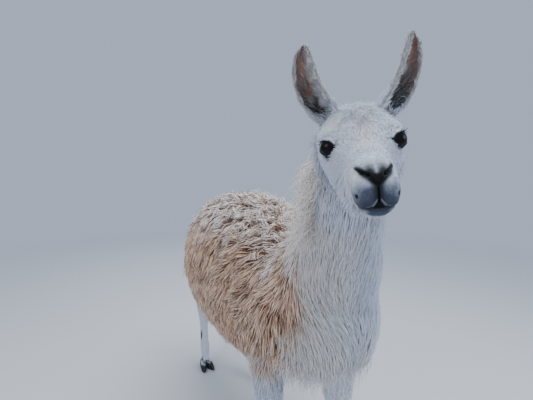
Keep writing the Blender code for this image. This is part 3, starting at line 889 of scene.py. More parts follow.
def faceMarks(points):
    # Black skin, dark grey, blue grey and the lips' pale rim at points in the head's frame, each 0 to 1.
    # The black and the grey are the highest of their layers.
    x, y, z = np.moveaxis(folded(points), -1, 0)
    flat = points * (1, 0, 1)
    away = pathDistance(flat, face["wing"]) - np.interp(x, face["wingX"], face["wingReach"])
    spot = np.linalg.norm(folded(points) - face["lipSpot"], axis=-1) / face["lipSpotSize"]
    black = [
        smooth(0.0012, -0.0008, away) * within(points, frontBand),
        within(points, ("x", 0.0034, 0.0012), *splitBands),
        mouthGap(points),
        grooveAt(points, "mouth", 1.2) * within(points, ("y", -0.120, -0.160)),
        smooth(1.45, 0.95, spot),
        smooth(0.0050, 0.0028, pathDistance(points, face["innerCorner"])),
    ]
    # two smoky lobes over the nostrils with a pale line between, darkest next to the black
    wingX, _, wingZ = np.array(face["wing"])[::-1].T
    wingZ = np.interp(x, wingX, wingZ)
    lobe = face["lobe"]
    lobes = smooth(*lobe["fade"], np.hypot((x - lobe["x"]) / lobe["wide"], (z - lobe["z"]) / lobe["tall"]))
    lobes = lobes * smooth(wingZ - 0.003, wingZ + 0.001, z) * (0.84 + 0.16 * smooth(0.0002, 0.0028, x))
    grey = [
        0.80 * lobes * within(points, frontBand),
        0.75 * smooth(0.0085, 0.0, away) * within(points, ("x", 0.038, 0.020), frontBand),
    ]
    grey += [strength * within(points, *bands) for strength, *bands in face["grey"]]
    # painted shade: grey along the lid's fold towards the nose
    foldShade = pathDistance(flat, face["eyeFoldShade"]) / np.interp(x, (0.036, 0.054), (0.0028, 0.0045))
    grey.append(0.55 * smooth(1.3, 0.2, foldShade) * within(points, ("y", -0.062, -0.050), ("y", -0.012, -0.022)))
    # painted shade: a faint grey under the brow
    brow = smooth(0.0042, 0.0005, pathDistance(flat, face["brow"]))
    grey.append(0.22 * brow * within(points, ("y", 0.0, -0.012), ("y", -0.062, -0.050)))
    tearX, tearHalf = (np.interp(z, (-0.026, -0.010), ends) for ends in ((0.0655, 0.0680), (0.0012, 0.0085)))
    tear = smooth(0.0016, -0.0016, np.abs(x - tearX) - tearHalf)
    tear = tear * within(points, ("z", -0.0268, -0.0225), ("z", -0.004, -0.008), ("y", 0.002, -0.008))
    grey.append(0.75 * tear)
    # Black round each eye: the lids' dark margin, which above the eye also stands for the lashes' painted
    # shadow; grey skin a little further out.
    for side in (-1, 1):
        distance, _, beyond, _ = eyeLevels(points, side)
        near = smooth(1.7, 1.45, distance / eye["radius"])
        black.append(near * smooth(8.0, 4.5, beyond))
        grey.append(0.5 * near * smooth(15, 7, beyond))
    # blue grey over the lips, fading upwards, outwards and on the sides of the lower lip
    smoke = smooth(-0.117, -0.153, y + 0.30 * (z + 0.07)) * smooth(-0.118, -0.108, z)
    smoke = smoke * (1 - 0.6 * within(points, ("x", 0.012, 0.022), ("z", -0.098, -0.102)))
    fading = z + 0.3 * np.clip(x - 0.010, 0, 0.03) + 0.004 * ripple(points, 0.03, 9)
    smoke = smoke * smooth(-0.038, -0.075, fading) * (1 - 0.22 * smooth(0.020, 0.036, x))
    rim = smooth(0.0019, 0.0006, pathDistance(points, face["lipRim"])) * (1 - mouthGap(points))
    return np.maximum.reduce(black), np.maximum.reduce(grey), smoke, rim


def earMarks(points, name):
    # 1 on the cupped inner side of an ear, how far up it a point is, and whether it is on that ear at all.
    at = toEar(name, points)
    rows = np.array(ear["stations"])
    side = ears[name][0]
    height = at[..., 2]
    shift, half, cup = (np.interp(height, rows[:, 0], rows[:, k]) for k in (1, 2, 3))
    across = at[..., 0] - side * shift
    turn = np.clip(across / half, -1, 1)
    sheet = cup * (1 - turn**2) - 0.5 * cup - 0.45 * np.minimum(ear["wall"], 0.6 * cup)
    inner = smooth(0.0006, -0.0008, at[..., 1] - sheet) * smooth(0.93, 0.74, np.abs(turn))
    inside = (height > -0.005) & (height < 0.17)
    inside = inside & (np.abs(across) < half + 0.004) & (np.abs(at[..., 1]) < 0.03)
    outward = side * turn + 0.14 * ripple(at, 0.03, 8) + 0.30 * smooth(0.09, 0.15, height)
    inner = inner * smooth(-0.40, 0.10, outward) * smooth(0.002, 0.018, height)
    return inner * inside, height / ear["tip"], inside


def allMarks(points):
    # Every marking at points in the body's frame, as one dictionary of arrays.
    onHead = toHead(points)
    near = smooth(0.20, 0.17, np.linalg.norm(onHead - (0, -0.02, -0.02), axis=-1))
    black, grey, smoke, rim = (near * part for part in faceMarks(onHead))
    inner = np.zeros(points.shape[:-1])
    earHeight = np.zeros(points.shape[:-1])
    for name in ears:
        found, height, inside = earMarks(points, name)
        inner = np.maximum(inner, found)
        earHeight = np.where(inside, height, earHeight)
    fawn = fawnAt(points)
    feet = smooth(*marks["footDark"], points[..., 2] + 0.004 * ripple(points, 0.02, 10))
    bridge = within(onHead, ("y", 0.03, -0.02), ("y", -0.125, -0.09), ("z", -0.03, 0.0))
    return {
        "fawn": fawn,
        "frost": frostAt(points) * fawn,
        "warm": warmAt(points) * (1 - near),
        "black": np.maximum(black, spotAt(points)),
        "grey": np.maximum(grey, 0.8 * feet),
        "smoke": smoke,
        "rim": rim,
        "ear": inner,
        "earHeight": np.clip(earHeight, 0, 1),
        "bridge": near * bell(onHead[..., 0], 0.016) * bridge,
    }


def addMarks(mesh, marksAt):
    # Each marking becomes an attribute with one value per point.
    for name, values in marksAt.items():
        layer = mesh.attributes.new(name, "FLOAT", "POINT")
        layer.data.foreach_set("value", values.astype(np.float32).ravel())


colours = {  # as the lit surface gives them back
    "white": (0.775, 0.825, 0.930),
    "shade": (0.38, 0.33, 0.30),
    "cream": (0.86, 0.83, 0.80),
    "fawn": (0.95, 0.635, 0.435),
    "rust": (0.82, 0.46, 0.265),
    "fawnDeep": (0.34, 0.18, 0.11),
    "straw": (0.96, 0.79, 0.64),
    "frost": (0.97, 0.91, 0.88),
    "black": (0.006, 0.006, 0.007),
    "grey": (0.027, 0.029, 0.036),
    "smoke": (0.062, 0.078, 0.122),
    "smokePale": (0.098, 0.118, 0.172),
    "lipRim": (0.32, 0.34, 0.40),
    "earLow": (0.036, 0.026, 0.026),
    "earHigh": (0.34, 0.175, 0.125),
    "eyeRing": (0.006, 0.005, 0.005),
    "iris": (0.009, 0.006, 0.004),
    "irisDark": (0.004, 0.003, 0.003),
    "pupil": (0.002, 0.002, 0.003),
    "horn": (0.008, 0.008, 0.008),
    "hornPale": (0.022, 0.020, 0.018),
    "none": (0, 0, 0),
}


class Graph:
    # One material's nodes: each call adds a node and gives back the socket with its result.
    def __init__(self, name):
        # A new material, its node tree and its one shader.
        self.material = bpy.data.materials.new(name)
        self.material.use_nodes = True
        self.tree = self.material.node_tree
        self.shader = self.tree.nodes["Principled BSDF"]

    def put(self, socket, value):
        # Links a socket to another, or sets its value; a colour is a name or three parts, made opaque.
        value = colours.get(value, value) if isinstance(value, str) else value
        if isinstance(value, bpy.types.NodeSocket):
            self.tree.links.new(value, socket)
        else:
            socket.default_value = (*value, 1) if socket.type == "RGBA" else value

    def add(self, kind, result, values, **settings):
        # A node with its settings, its inputs filled by identifier, and one of its outputs.
        node = self.tree.nodes.new("ShaderNode" + kind)
        for name, value in settings.items():
            setattr(node, name, value)
        for socket in node.inputs:
            if socket.identifier in values:
                self.put(socket, values[socket.identifier])
        return next(socket for socket in node.outputs if socket.identifier == result)

    def finish(self, **values):
        # Sets the shader's own inputs; an underscore stands for a space in their names.
        for name, value in values.items():
            self.put(self.shader.inputs[name.replace("_", " ")], value)
        return self.material

    def mark(self, name):
        # One of the mesh's own markings.
        return self.add("Attribute", "Fac", {}, attribute_name=name)

    def place(self, stretch=(1, 1, 1)):
        # The object's own coordinates, each axis multiplied by its stretch.
        own = self.add("TexCoord", "Object", {})
        return self.add("Mapping", "Vector", {"Vector": own, "Scale": stretch})

    def noise(self, scale, detail=3, roughness=0.55, stretch=(1, 1, 1)):
        # Layered noise in the object's own coordinates.
        values = {"Vector": self.place(stretch), "Scale": scale, "Detail": detail, "Roughness": roughness}
        return self.add("TexNoise", "Fac", values)

    def joined(self, first, second, kind="MULTIPLY"):
        # The product of two values, or another sum on them.
        return self.add("Math", "Value", {"Value": first, "Value_001": second}, operation=kind)

    def span(self, value, low, high, newLow=0.0, newHigh=1.0):
        # Low to high becomes newLow to newHigh, in a straight line held at both ends.
        ends = {"From Min": low, "From Max": high, "To Min": newLow, "To Max": newHigh}
        return self.add("MapRange", "Result", {"Value": value, **ends})

    def blend(self, share, first, second, kind="MIX"):
        # The first colour turned into the second by the share.
        values = {"Factor_Float": share, "A_Color": first, "B_Color": second}
        return self.add("Mix", "Result_Color", values, data_type="RGBA", blend_type=kind)

    def bump(self, height, distance, strength=1.0):
        # The tilt of the surface that a height pattern gives.
        return self.add("Bump", "Normal", {"Height": height, "Distance": distance, "Strength": strength})


def hairColour(graph, tone, along):
    # White, fawn and frosted hair: patches of richer fawn, browner low tones, and paler tips.
    cloud = graph.span(graph.noise(7, 3), 0.52, 0.80, 0.0, 0.7)
    white = graph.blend(graph.joined(cloud, graph.mark("warm"), "MAXIMUM"), "white", "cream")
    patch = graph.blend(graph.span(graph.noise(6.5, 3), 0.36, 0.66), "fawn", "rust")
    fawn = graph.blend(graph.span(tone, 0.05, 0.55), "fawnDeep", patch)
    fawn = graph.blend(graph.span(tone, 0.62, 1.0, 0.0, 0.85), fawn, "straw")
    fawn = graph.blend(graph.span(along, 0.45, 1.0, 0.0, 0.40), fawn, "straw")
    base = graph.blend(graph.mark("fawn"), white, fawn)
    frost = graph.joined(graph.mark("frost"), graph.span(along, 0.15, 0.70, 0.15, 1.0))
    frost = graph.joined(frost, graph.span(tone, 0.17, 0.42, 0.05, 1.0))
    base = graph.blend(frost, base, "frost")
    return graph.blend(graph.joined(graph.mark("bridge"), 0.16), base, "fawn")


def darkened(graph, base):
    # The blue grey lips, the ears' dark hollows, grey and black skin and the lips' rim, laid over the hair.
    smoke = graph.blend(graph.span(graph.noise(620, 2), 0.38, 0.66), "smoke", "smokePale")
    base = graph.blend(graph.mark("smoke"), base, smoke)
    hollow = graph.blend(graph.span(graph.mark("earHeight"), 0.30, 0.72), "earLow", "earHigh")
    base = graph.blend(graph.mark("ear"), base, hollow)
    base = graph.blend(graph.span(graph.mark("grey"), 0.0, 0.75), base, "grey")
    base = graph.blend(graph.mark("black"), base, "black")
    return graph.blend(graph.joined(graph.mark("rim"), 0.42), base, "lipRim")


def skinFinish():
    # The hair's colours in a fine grain, with painted shade in the grain's low parts and deeper painted shade
    # under the fawn fleece, and wet-looking black skin.
    graph = Graph("skinHair")
    grain = graph.noise(300, 3, 0.6, (1, 1, 0.5))
    base = hairColour(graph, graph.span(grain, 0.25, 0.75, 0.15, 0.75), 0.3)
    # painted shade where the grain is low, as in the gaps between hairs
    base = graph.blend(graph.span(grain, 0.30, 0.62, 0.40, 0.0), base, "shade", "MULTIPLY")
    # painted shade under the fawn fleece, where the long coat lies over the skin
    base = graph.blend(graph.joined(graph.mark("fawn"), 0.85), base, "shade", "MULTIPLY")
    bump = graph.bump(graph.noise(520, 3, 0.6, (1, 1, 0.45)), 0.0010, 0.6)
    rough = graph.span(graph.mark("black"), 0.3, 1.0, 0.75, 0.48)
    base = darkened(graph, base)
    return graph.finish(Base_Color=base, Roughness=rough, Specular_IOR_Level=0.14, Normal=bump)


def coatFinish():
    # Each tuft in its own tone; the roots lie in the coat's shade, more so in the fleece than on white hair.
    graph = Graph("coatHair")
    tone, along, fawn = graph.mark("tone"), graph.mark("along"), graph.mark("fawn")
    base = hairColour(graph, tone, along)
    rootShade = graph.joined(graph.span(along, 0.0, 0.55, 1.0, 0.0), graph.span(fawn, 0, 1, 0.30, 0.85))
    base = graph.blend(rootShade, base, "shade", "MULTIPLY")
    dull = graph.span(tone, 0.0, 0.6, graph.span(fawn, 0, 1, 0.14, 0.46), 0.0)
    base = darkened(graph, graph.blend(dull, base, "none"))
    return graph.finish(Base_Color=base, Roughness=0.65, Sheen_Weight=0.2, Specular_IOR_Level=0.25)


def eyeFinish():
    # A level dark pupil in a nearly black iris, inside a dark ring, wet and glossy.
    graph = Graph("eyeWet")
    iris = graph.blend(graph.span(graph.noise(900, 2), 0.3, 0.7), "iris", "irisDark")
    base = graph.blend(graph.span(graph.mark("ring"), 0.85, 1.05), iris, "eyeRing")
    base = graph.blend(graph.span(graph.mark("pupil"), 0.9, 1.1), "pupil", base)
    return graph.finish(Base_Color=base, Roughness=0.04, Specular_IOR_Level=0.16)


def nailFinish():
    # Dark horn with long streaks.
    graph = Graph("nailHorn")
    streaks = graph.span(graph.noise(160, 4, 0.6, (1, 0.3, 1)), 0.3, 0.7)
    bump = graph.bump(graph.noise(240, 3, 0.5, (1, 0.25, 1)), 0.0006, 0.6)
    return graph.finish(Base_Color=graph.blend(streaks, "horn", "hornPale"), Roughness=0.42, Normal=bump)


few = 1  # a quick build has about a quarter of the hair
goldenSteps = (0.7548776662466927, 0.5698402909980532)  # these spread points evenly over a square


def readGrid(grid, row, column):
    # The grid's value at fractional rows and columns, wrapped round the columns.
    rows, sides = grid.shape[:2]
    r = np.clip(row.astype(int), 0, rows - 2)
    c = column.astype(int) % sides
    after = (c + 1) % sides
    a, b = (row - r)[:, None], (column - column.astype(int))[:, None]
    here = grid[r, c] * (1 - a) + grid[r + 1, c] * a
    beside = grid[r, after] * (1 - a) + grid[r + 1, after] * a
    return here * (1 - b) + beside * b


def sow(rings, count, density=None, seed=1):
    # Roots from a golden-ratio sequence spread over the grid evenly by area times density.
    rows, sides = rings.shape[:2]
    along = np.gradient(rings, axis=0)
    around = (np.roll(rings, -1, axis=1) - np.roll(rings, 1, axis=1)) / 2
    weight = np.linalg.norm(np.cross(along, around), axis=2)
    if density is not None:
        weight = weight * density
    peak = weight.max(axis=1) + 1e-12
    run = np.append(0, np.cumsum((peak[1:] + peak[:-1]) / 2))
    tries = int(count * peak.sum() * sides / weight.sum())
    k = np.arange(tries) + 1000.0 * seed
    row = np.interp((k * goldenSteps[0]) % 1, run / run[-1], np.arange(rows))
    column = ((k * goldenSteps[1]) % 1) * sides
    here = readGrid((weight / peak[:, None])[..., None], row, column)[:, 0]
    keep = np.random.default_rng(seed).random(tries) < here
    row, column = row[keep], column[keep]
    chart = np.stack([column / sides, row / (rows - 1)], axis=1)
    place, facing, ways = (readGrid(grid, row, column) for grid in (rings, gridNormals(rings), along))
    return place, unit(facing), chart, unit(ways)


def onSkin(points):
    # The nearest place on the skin to each point, the way it faces there, and how far it is.
    found = [skinTree.find_nearest(point) for point in points.tolist()]
    return [np.array([f[k] for f in found]) for k in (0, 1, 3)]


def rooted(rings, count, seed, density=None, reach=0.012):
    # Roots sown on one surface, moved onto the skin, without those that other parts bury.
    roots, normals, chart, ways = sow(rings, count, density, seed)
    place, facing, away = onSkin(roots)
    keep = away < reach
    return place[keep], unit(facing[keep] + normals[keep]), chart[keep], ways[keep]


def stacked(parts):
    # The parts' first arrays end to end, then their second ones, and so on.
    return [np.concatenate(arrays) for arrays in zip(*parts)]


def turned(vectors, axes, angles):
    # Each vector turned about its unit axis, where the two are square to each other.
    return vectors * np.cos(angles)[:, None] + np.cross(axes, vectors) * np.sin(angles)[:, None]


def lying(flow, normals):
    # The flow with its share along the normal taken out, at unit length.
    return unit(flow - normals * (flow * normals).sum(-1, keepdims=True))


def sized(coat, *shares):
    # The coat with its sizes worked out: the first value, plus each further one times its share.
    def weighed(values):
        # The first value, and the sum of the others times their shares.
        return values[0] + sum(value * share for value, share in zip(values[1:], shares))
    return {**coat, **{key: weighed(coat[key]) for key in ("length", "rise", "swing", "clump", "width")}}


tuft = {
    "tipAt": 0.86,  # share of the length at which the last ring lies
    "shape": ((0, 0.30, 0.62, 0.86), (0.62, 1.0, 0.80, 0.40)),  # width along the tuft
    "droop": 0.65,
    "patch": 0.003,  # size of a tuft's own place on the map, which is drawn in to leave room for it
    "chart": 0.994,
}


def tuftFaces(rings):
    # Three-sided rings joined in a tapering spindle: a cap, the sides, and a fan to the tip.
    faces = [(0, 2, 1)]
    for k in range(rings - 1):
        a, b = 3 * k, 3 * k + 3
        for c in range(3):
            d = (c + 1) % 3
            faces += [(a + c, a + d, b + d), (a + c, b + d, b + c)]
    a = 3 * (rings - 1)
    return np.array(faces + [(a + c, a + (c + 1) % 3, 3 * rings) for c in range(3)])


def lockSpines(roots, normals, grain, coat, maker):
    # From root to tip: a curve that leaves the skin at a low angle, follows its bend, hangs free where
    # wanted, waves from side to side, and leans towards the middle lock of its clump.
    count = len(roots)
    length = coat["length"] * maker.uniform(1 - coat["uneven"], 1 + coat["uneven"], count)
    rise = coat["rise"] * maker.uniform(0.25, 1.0, count) ** 0.8
    length, rise = length[:, None], rise[:, None]
    under, facing, _ = onSkin(roots + grain * length)
    lain = under + facing * rise
    free = roots + normals * (0.5 * rise) + grain * (0.35 * length) - (0, 0, tuft["droop"]) * length
    hang = np.reshape(coat["hang"], (-1, 1))
    tip = lain * (1 - hang) + free * hang
    middle = (roots + tip) / 2 + unit(normals + facing) * (0.45 * rise + 0.05 * length)
    t = np.append(np.linspace(0, tuft["tipAt"], coat["rings"]), 1.0)[:, None]
    spine = roots[:, None] * (1 - t) ** 2 + 2 * middle[:, None] * t * (1 - t) + tip[:, None] * t**2
    t = t[:, 0]
    side = unit(np.cross(normals, grain))
    swing = maker.uniform(0, 6.28, count)[:, None]
    swing = swing + 2 * np.pi * coat["waves"] * t * maker.uniform(0.7, 1.3, (count, 1))
    size = np.reshape(coat["swing"], (-1, 1)) * maker.uniform(0.3, 1.0, (count, 1)) * np.sqrt(t)
    spine = spine + side[:, None] * (size * np.sin(swing))[..., None]
    spine = spine + normals[:, None] * (0.5 * size * np.cos(swing))[..., None]
    leaders = np.arange(0, count, coat["perClump"])
    tree = KDTree(len(leaders))
    for k, place in enumerate(roots[leaders].tolist()):
        tree.insert(place, k)
    tree.balance()
    nearest = leaders[np.array([tree.find(place)[1] for place in roots.tolist()])]
    gap = np.linalg.norm(roots[nearest] - roots, axis=1)
    pull = np.reshape(coat["clump"], (-1, 1)) * maker.uniform(0.6, 1.0, (count, 1)) * t**1.3
    pull = pull * smooth(coat["clumpReach"], 0.5 * coat["clumpReach"], gap)[:, None]
    return spine + (spine[nearest] - spine) * pull[..., None], side


def locks(roots, normals, grain, chart, coat, maker):
    # One row per tuft: its spine, its side, and its width and tone drawn round the coat's own.
    spine, side = lockSpines(roots, normals, grain, coat, maker)
    width = coat["width"] * maker.uniform(*coat["widths"], len(roots))
    tone = np.clip(coat["tone"] + maker.normal(0, coat["tones"], len(roots)), 0, 1)
    return {"spine": spine, "side": side, "width": width, "tone": tone, "chart": chart}


def tuftPoints(spine, side, width, thickness):
    # Round each point of a spine, two low corners and one raised by a share of the width, then the tip.
    count, steps = spine.shape[:2]
    rings = steps - 1
    share = np.interp(np.linspace(0, tuft["tipAt"], rings), *tuft["shape"])
    ahead = unit(np.gradient(spine, axis=1))
    across = unit(side[:, None] - (side[:, None] * ahead).sum(-1, keepdims=True) * ahead)
    up = np.cross(ahead, across)
    up = up * np.sign((up * -np.cross(side, ahead[:, 0])[:, None]).sum(-1, keepdims=True) + 1e-9)
    w = (width[:, None] * share)[..., None]
    middle, across, up = spine[:, :rings], across[:, :rings] * w / 2, up[:, :rings] * w * thickness
    corners = np.stack([middle - across, middle + across, middle + up], axis=2)
    return np.concatenate([corners.reshape(count, rings * 3, 3), spine[:, rings:]], axis=1)


coatMade = []


def addCoat(name, thickness, tufts, marksAt, pieces=1):
    # One region's tufts as a few interleaved pieces, each with its markings and its map.
    rings = tufts["spine"].shape[1] - 1
    points = tuftPoints(tufts["spine"], tufts["side"], tufts["width"], thickness)
    faces = tuftFaces(rings)
    if insideOut(points[0] - points[0].mean(0), faces):
        faces = faces[:, ::-1]
    along = np.append(np.repeat(np.linspace(0, tuft["tipAt"], rings), 3), 1.0)
    patch = tuft["patch"] * np.stack([np.append(np.tile((0.1, 0.9, 0.5), rings), 0.5), along], axis=1)
    for piece in range(pieces):
        part = slice(piece, None, pieces)
        own = points[part]
        count, per = own.shape[:2]
        triangles = (faces[None] + (np.arange(count) * per)[:, None, None]).reshape(-1, 3)
        mesh = bpy.data.meshes.new(f"{name}{piece + 1}")
        mesh.vertices.add(count * per)
        mesh.vertices.foreach_set("co", (own + bodyShift).ravel())
        mesh.loops.add(len(triangles) * 3)
        mesh.loops.foreach_set("vertex_index", triangles.ravel())
        mesh.polygons.add(len(triangles))
        mesh.polygons.foreach_set("loop_start", np.arange(0, len(triangles) * 3, 3))
        mesh.update(calc_edges=True)
        mesh.shade_smooth()
        maps = mesh.uv_layers.new(name="OFBake")
        places = (tufts["chart"][part][:, None] * tuft["chart"] + patch).reshape(-1, 2)
        maps.data.foreach_set("uv", places[triangles.ravel()].ravel())
        addMarks(mesh, {key: np.repeat(value[part], per) for key, value in marksAt.items()})
        addMarks(mesh, {"tone": np.repeat(tufts["tone"][part], per), "along": np.tile(along, count)})
        mesh.materials.append(coatMaterial)
        made = objectOf(mesh.name, mesh)
        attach(made, "root")
        coatMade.append(len(triangles))


# In each coat a size is its plain value, then what is added on the parts that its note names.
fleece = {
    "roots": (36000, 25500),  # on the trunk and on the neck
    "chart": ((0.66, 1.0, 0.0), (0.32, 0.75, 0.67)),  # width, height and left edge of each one's map
    # on the barrel, on the back's top, low on the flanks
    "length": (0.062, 0.004, -0.018, 0.024),
    "rise": (0.019, 0.005, 0.013),
    "swing": (0.0022, 0.0022, 0.0028),
    "clump": (0.32, 0.32, 0.26),
    "width": (0.0025, 0.0019),
    "widths": (0.65, 1.35),
    "uneven": 0.38,
    "rings": 3,
    "waves": 0.9,
    "perClump": 11,
    "clumpReach": 0.038,
    "hem": 0.592,  # the tips end about here under the breast
    "hemDrop": 0.045,  # the colours reach this much lower there
    "mingle": (0, 0.016, 0.010),
    "loose": (0.10, 0.08),  # share of fine single hairs that stand away, and how many more on the back
    "crown": (0, 0.075, 0.025),  # the fleece is shorter within the reach of this place on the head
    "crownReach": (0.155, 0.085),
}


def fleeceFlow(roots, normals):
    # Down everywhere; swept back behind the shoulder, drawn in on the breast, spread over the back.
    x, y, z = roots.T
    top = smooth(0.30, 0.80, normals[:, 2])
    back = 0.12 + 0.48 * smooth(-0.20, 0.02, y) * smooth(0.55, 0.15, y) * smooth(0.50, 0.78, z)
    breast = smooth(-0.10, -0.20, y) * smooth(1.04, 0.90, z)
    aside = np.sign(x) * (0.10 + 0.50 * top) * (1 - breast) - 0.42 * breast * np.clip(x / 0.06, -1, 1)
    return lying(gridOf(aside, back * (1 - breast) - 0.20 * breast, -1.0), normals), top


def growFleece():
    # Long locks over trunk and neck, wilder on the back, shorter at the head, in fawn and white pieces.
    maker = np.random.default_rng(11)
    onTrunk = rooted(trunkRings(90, 96, trunk["coat"]), fleece["roots"][0] // few, 1)
    onNeck = rooted(partRings(neck, 70, 72), fleece["roots"][1] // few, 2)
    roots, normals, chart, _ = stacked((onTrunk, onNeck))
    wide, tall, left = np.repeat(fleece["chart"], (len(onTrunk[0]), len(onNeck[0])), axis=0).T
    chart = chart * np.stack([wide, tall], axis=1)
    chart[:, 0] += left
    count = len(roots)
    y, z = roots.T[1:]
    grain, top = fleeceFlow(roots, normals)
    body = smooth(-0.22, -0.10, y + 0.15 * (z - 0.9))  # 0 on the neck and breast, 1 on the barrel
    stray = (0.14 + 0.12 * body) * ripple(roots, 0.15, 21) + maker.normal(0, 0.08 + 0.08 * body)
    stray = stray + body * top * (0.8 * ripple(roots, 0.06, 22) + maker.normal(0, 0.55, count))
    grain = turned(grain, normals, stray)
    crown = smooth(*fleece["crownReach"], np.linalg.norm(toHead(roots) - fleece["crown"], axis=1))
    share, more = fleece["loose"]
    loose = maker.random(count) < share + more * top
    room = np.maximum(z - fleece["hem"] + 0.016 * ripple(roots, 0.05, 24), 0.030)
    room = room + 0.045 * smooth(0.02, 0.14, y)
    coat = sized(fleece, body, top * body, smooth(0.66, 0.54, z))
    coat["length"] = np.minimum(coat["length"] * (1 - 0.62 * crown), room)
    coat["rise"] = coat["rise"] * np.where(loose, 1.5, 1.0) * (1 - 0.6 * crown)
    coat["width"] = coat["width"] * np.where(loose, 0.55, 1.0)
    coat["hang"] = 0.62 * smooth(0.10, -0.45, normals[:, 2])
    coat["tone"] = 0.55 - 0.03 * body + (0.10 + 0.12 * body) * ripple(roots, 0.035, 23)
    coat["tones"] = 0.14 + 0.12 * body
    tufts = locks(roots, normals, grain, chart, coat, maker)
    # neighbours of both colours mingle at an edge, and the hem hangs lower than its roots
    mingled = roots + maker.normal(0, 1, (count, 3)) * fleece["mingle"]
    marksAt = allMarks(mingled + (0, 0, fleece["hemDrop"]) * smooth(0.70, 0.62, z)[:, None])
    fawn = marksAt["fawn"] >= 0.5
    for name, slot, pick in (("coatFawn", "fawn_fleece", fawn), ("coatWhite", "white_wool", ~fawn)):
        own, marked = ({key: value[pick] for key, value in table.items()} for table in (tufts, marksAt))
        addCoat(name, 0.42, own, marked, 3)


tailCoat = {
    "roots": 3000,
    "length": (0.085,),
    "rise": (0.018,),
    "swing": (0.005,),
    "clump": (0.5,),
    "width": (1.0,),
    "widths": (0.0030, 0.0055),
    "uneven": 0.35,
    "rings": 4,
    "waves": 1.0,
    "perClump": 8,
    "clumpReach": 0.03,
    "tone": 0.55,
    "tones": 0.2,
}


def growTail():
    # Long wavy locks that hang from the tail's path.
    maker = np.random.default_rng(13)
    roots, normals, chart, _ = rooted(partRings(tail, 40, 40), tailCoat["roots"], 3)
    count = len(roots)
    flow = gridOf(0.1 * maker.normal(size=count), 0.25 + 0.2 * maker.normal(size=count), -1.0)
    coat = {**sized(tailCoat), "hang": 0.5 * smooth(0.4, -0.4, normals[:, 2])}
    tufts = locks(roots, normals, lying(flow, normals), chart, coat, maker)
    addCoat("coatTail", 0.45, tufts, allMarks(roots))


legHair = {
    "roots": (3600, 420),  # on a leg and on a toe
    # higher up the leg, on the toes
    "length": (0.015, 0.030, -0.0065),
    "rise": (0.0045, 0.007, -0.0032),
    "swing": (0.001,),
    "clump": (0.25,),
    "width": (0.0022, 0.0016, -0.0007),
    "widths": (0.75, 1.3),
    "uneven": 0.3,
    "rings": 2,
    "waves": 0.3,
    "perClump": 6,
    "clumpReach": 0.012,
    "hang": 0.0,
    "tone": 0.6,
    "tones": 0.18,
    "lowestRoot": 0.010,
    "lowest": 0.0025,
}


def growLegs():
    # Short hair down the legs and forward over the toes, longer and woollier above the knees and hocks.
    maker = np.random.default_rng(14)
    gathered = []
    for k, name in enumerate(legs):
        corner = (k % 2, k // 2)
        # each leg has a quarter of the map: its length in the lower part, its two toes side by side above
        leg = rooted(legRings(name, 0.050, 0.68, 120, 40), legHair["roots"][0] // few, 40 + k)
        sown = [(*leg, (1.0, 0.84), (0.0, 0.0), 0)]
        for side in (0, 1):
            seed = 50 + 2 * k + side
            toes = rooted(toeRings(name, 2 * side - 1), legHair["roots"][1] // few, seed, None, 0.004)
            sown.append((*toes, (0.5, 0.14), (0.5 * side, 0.86), 1))
        for roots, normals, chart, _, scale, start, onToe in sown:
            chart = (chart * scale + start + corner) / 2
            clear = (onToe == 0) | (roots[:, 2] > legHair["lowestRoot"])
            gathered.append((roots[clear], normals[clear], chart[clear], np.full(clear.sum(), onToe)))
    roots, normals, chart, onToe = stacked(gathered)
    count = len(roots)
    flow = gridOf(0.10 * maker.normal(size=count), 0.12 + 0.10 * maker.normal(size=count), -1.0)
    grain = lying(flow + onToe[:, None] * (0, -1.2, 0.6), normals)
    coat = sized(legHair, smooth(0.36, 0.56, roots[:, 2]), onToe)
    tufts = locks(roots, normals, grain, chart, coat, maker)
    tufts["spine"][..., 2] = np.maximum(tufts["spine"][..., 2], legHair["lowest"])  # clear of the floor
    addCoat("coatLegs", 0.4, tufts, allMarks(roots))


headHair = {
    "roots": 19000,
    # on the muzzle, the nape and jaw, the soft cheeks and brow, the crown
    "length": (0.0110, -0.0065, 0.026, 0.008, 0.004),
    "rise": (0.0020, -0.0013, 0.015, 0.003, -0.002),
    "swing": (0.0006, 0, 0.0045, 0, 0.0008),
    "clump": (0.35,),
    "width": (0.0020, -0.0010, 0.0012, 0.0002),
    "widths": (0.7, 1.3),
    "uneven": 0.3,
    "rings": 2,
    "waves": 0.4,
    "perClump": 6,
    "clumpReach": 0.010,
    "tone": 0.70,
    "tones": 0.12,
}


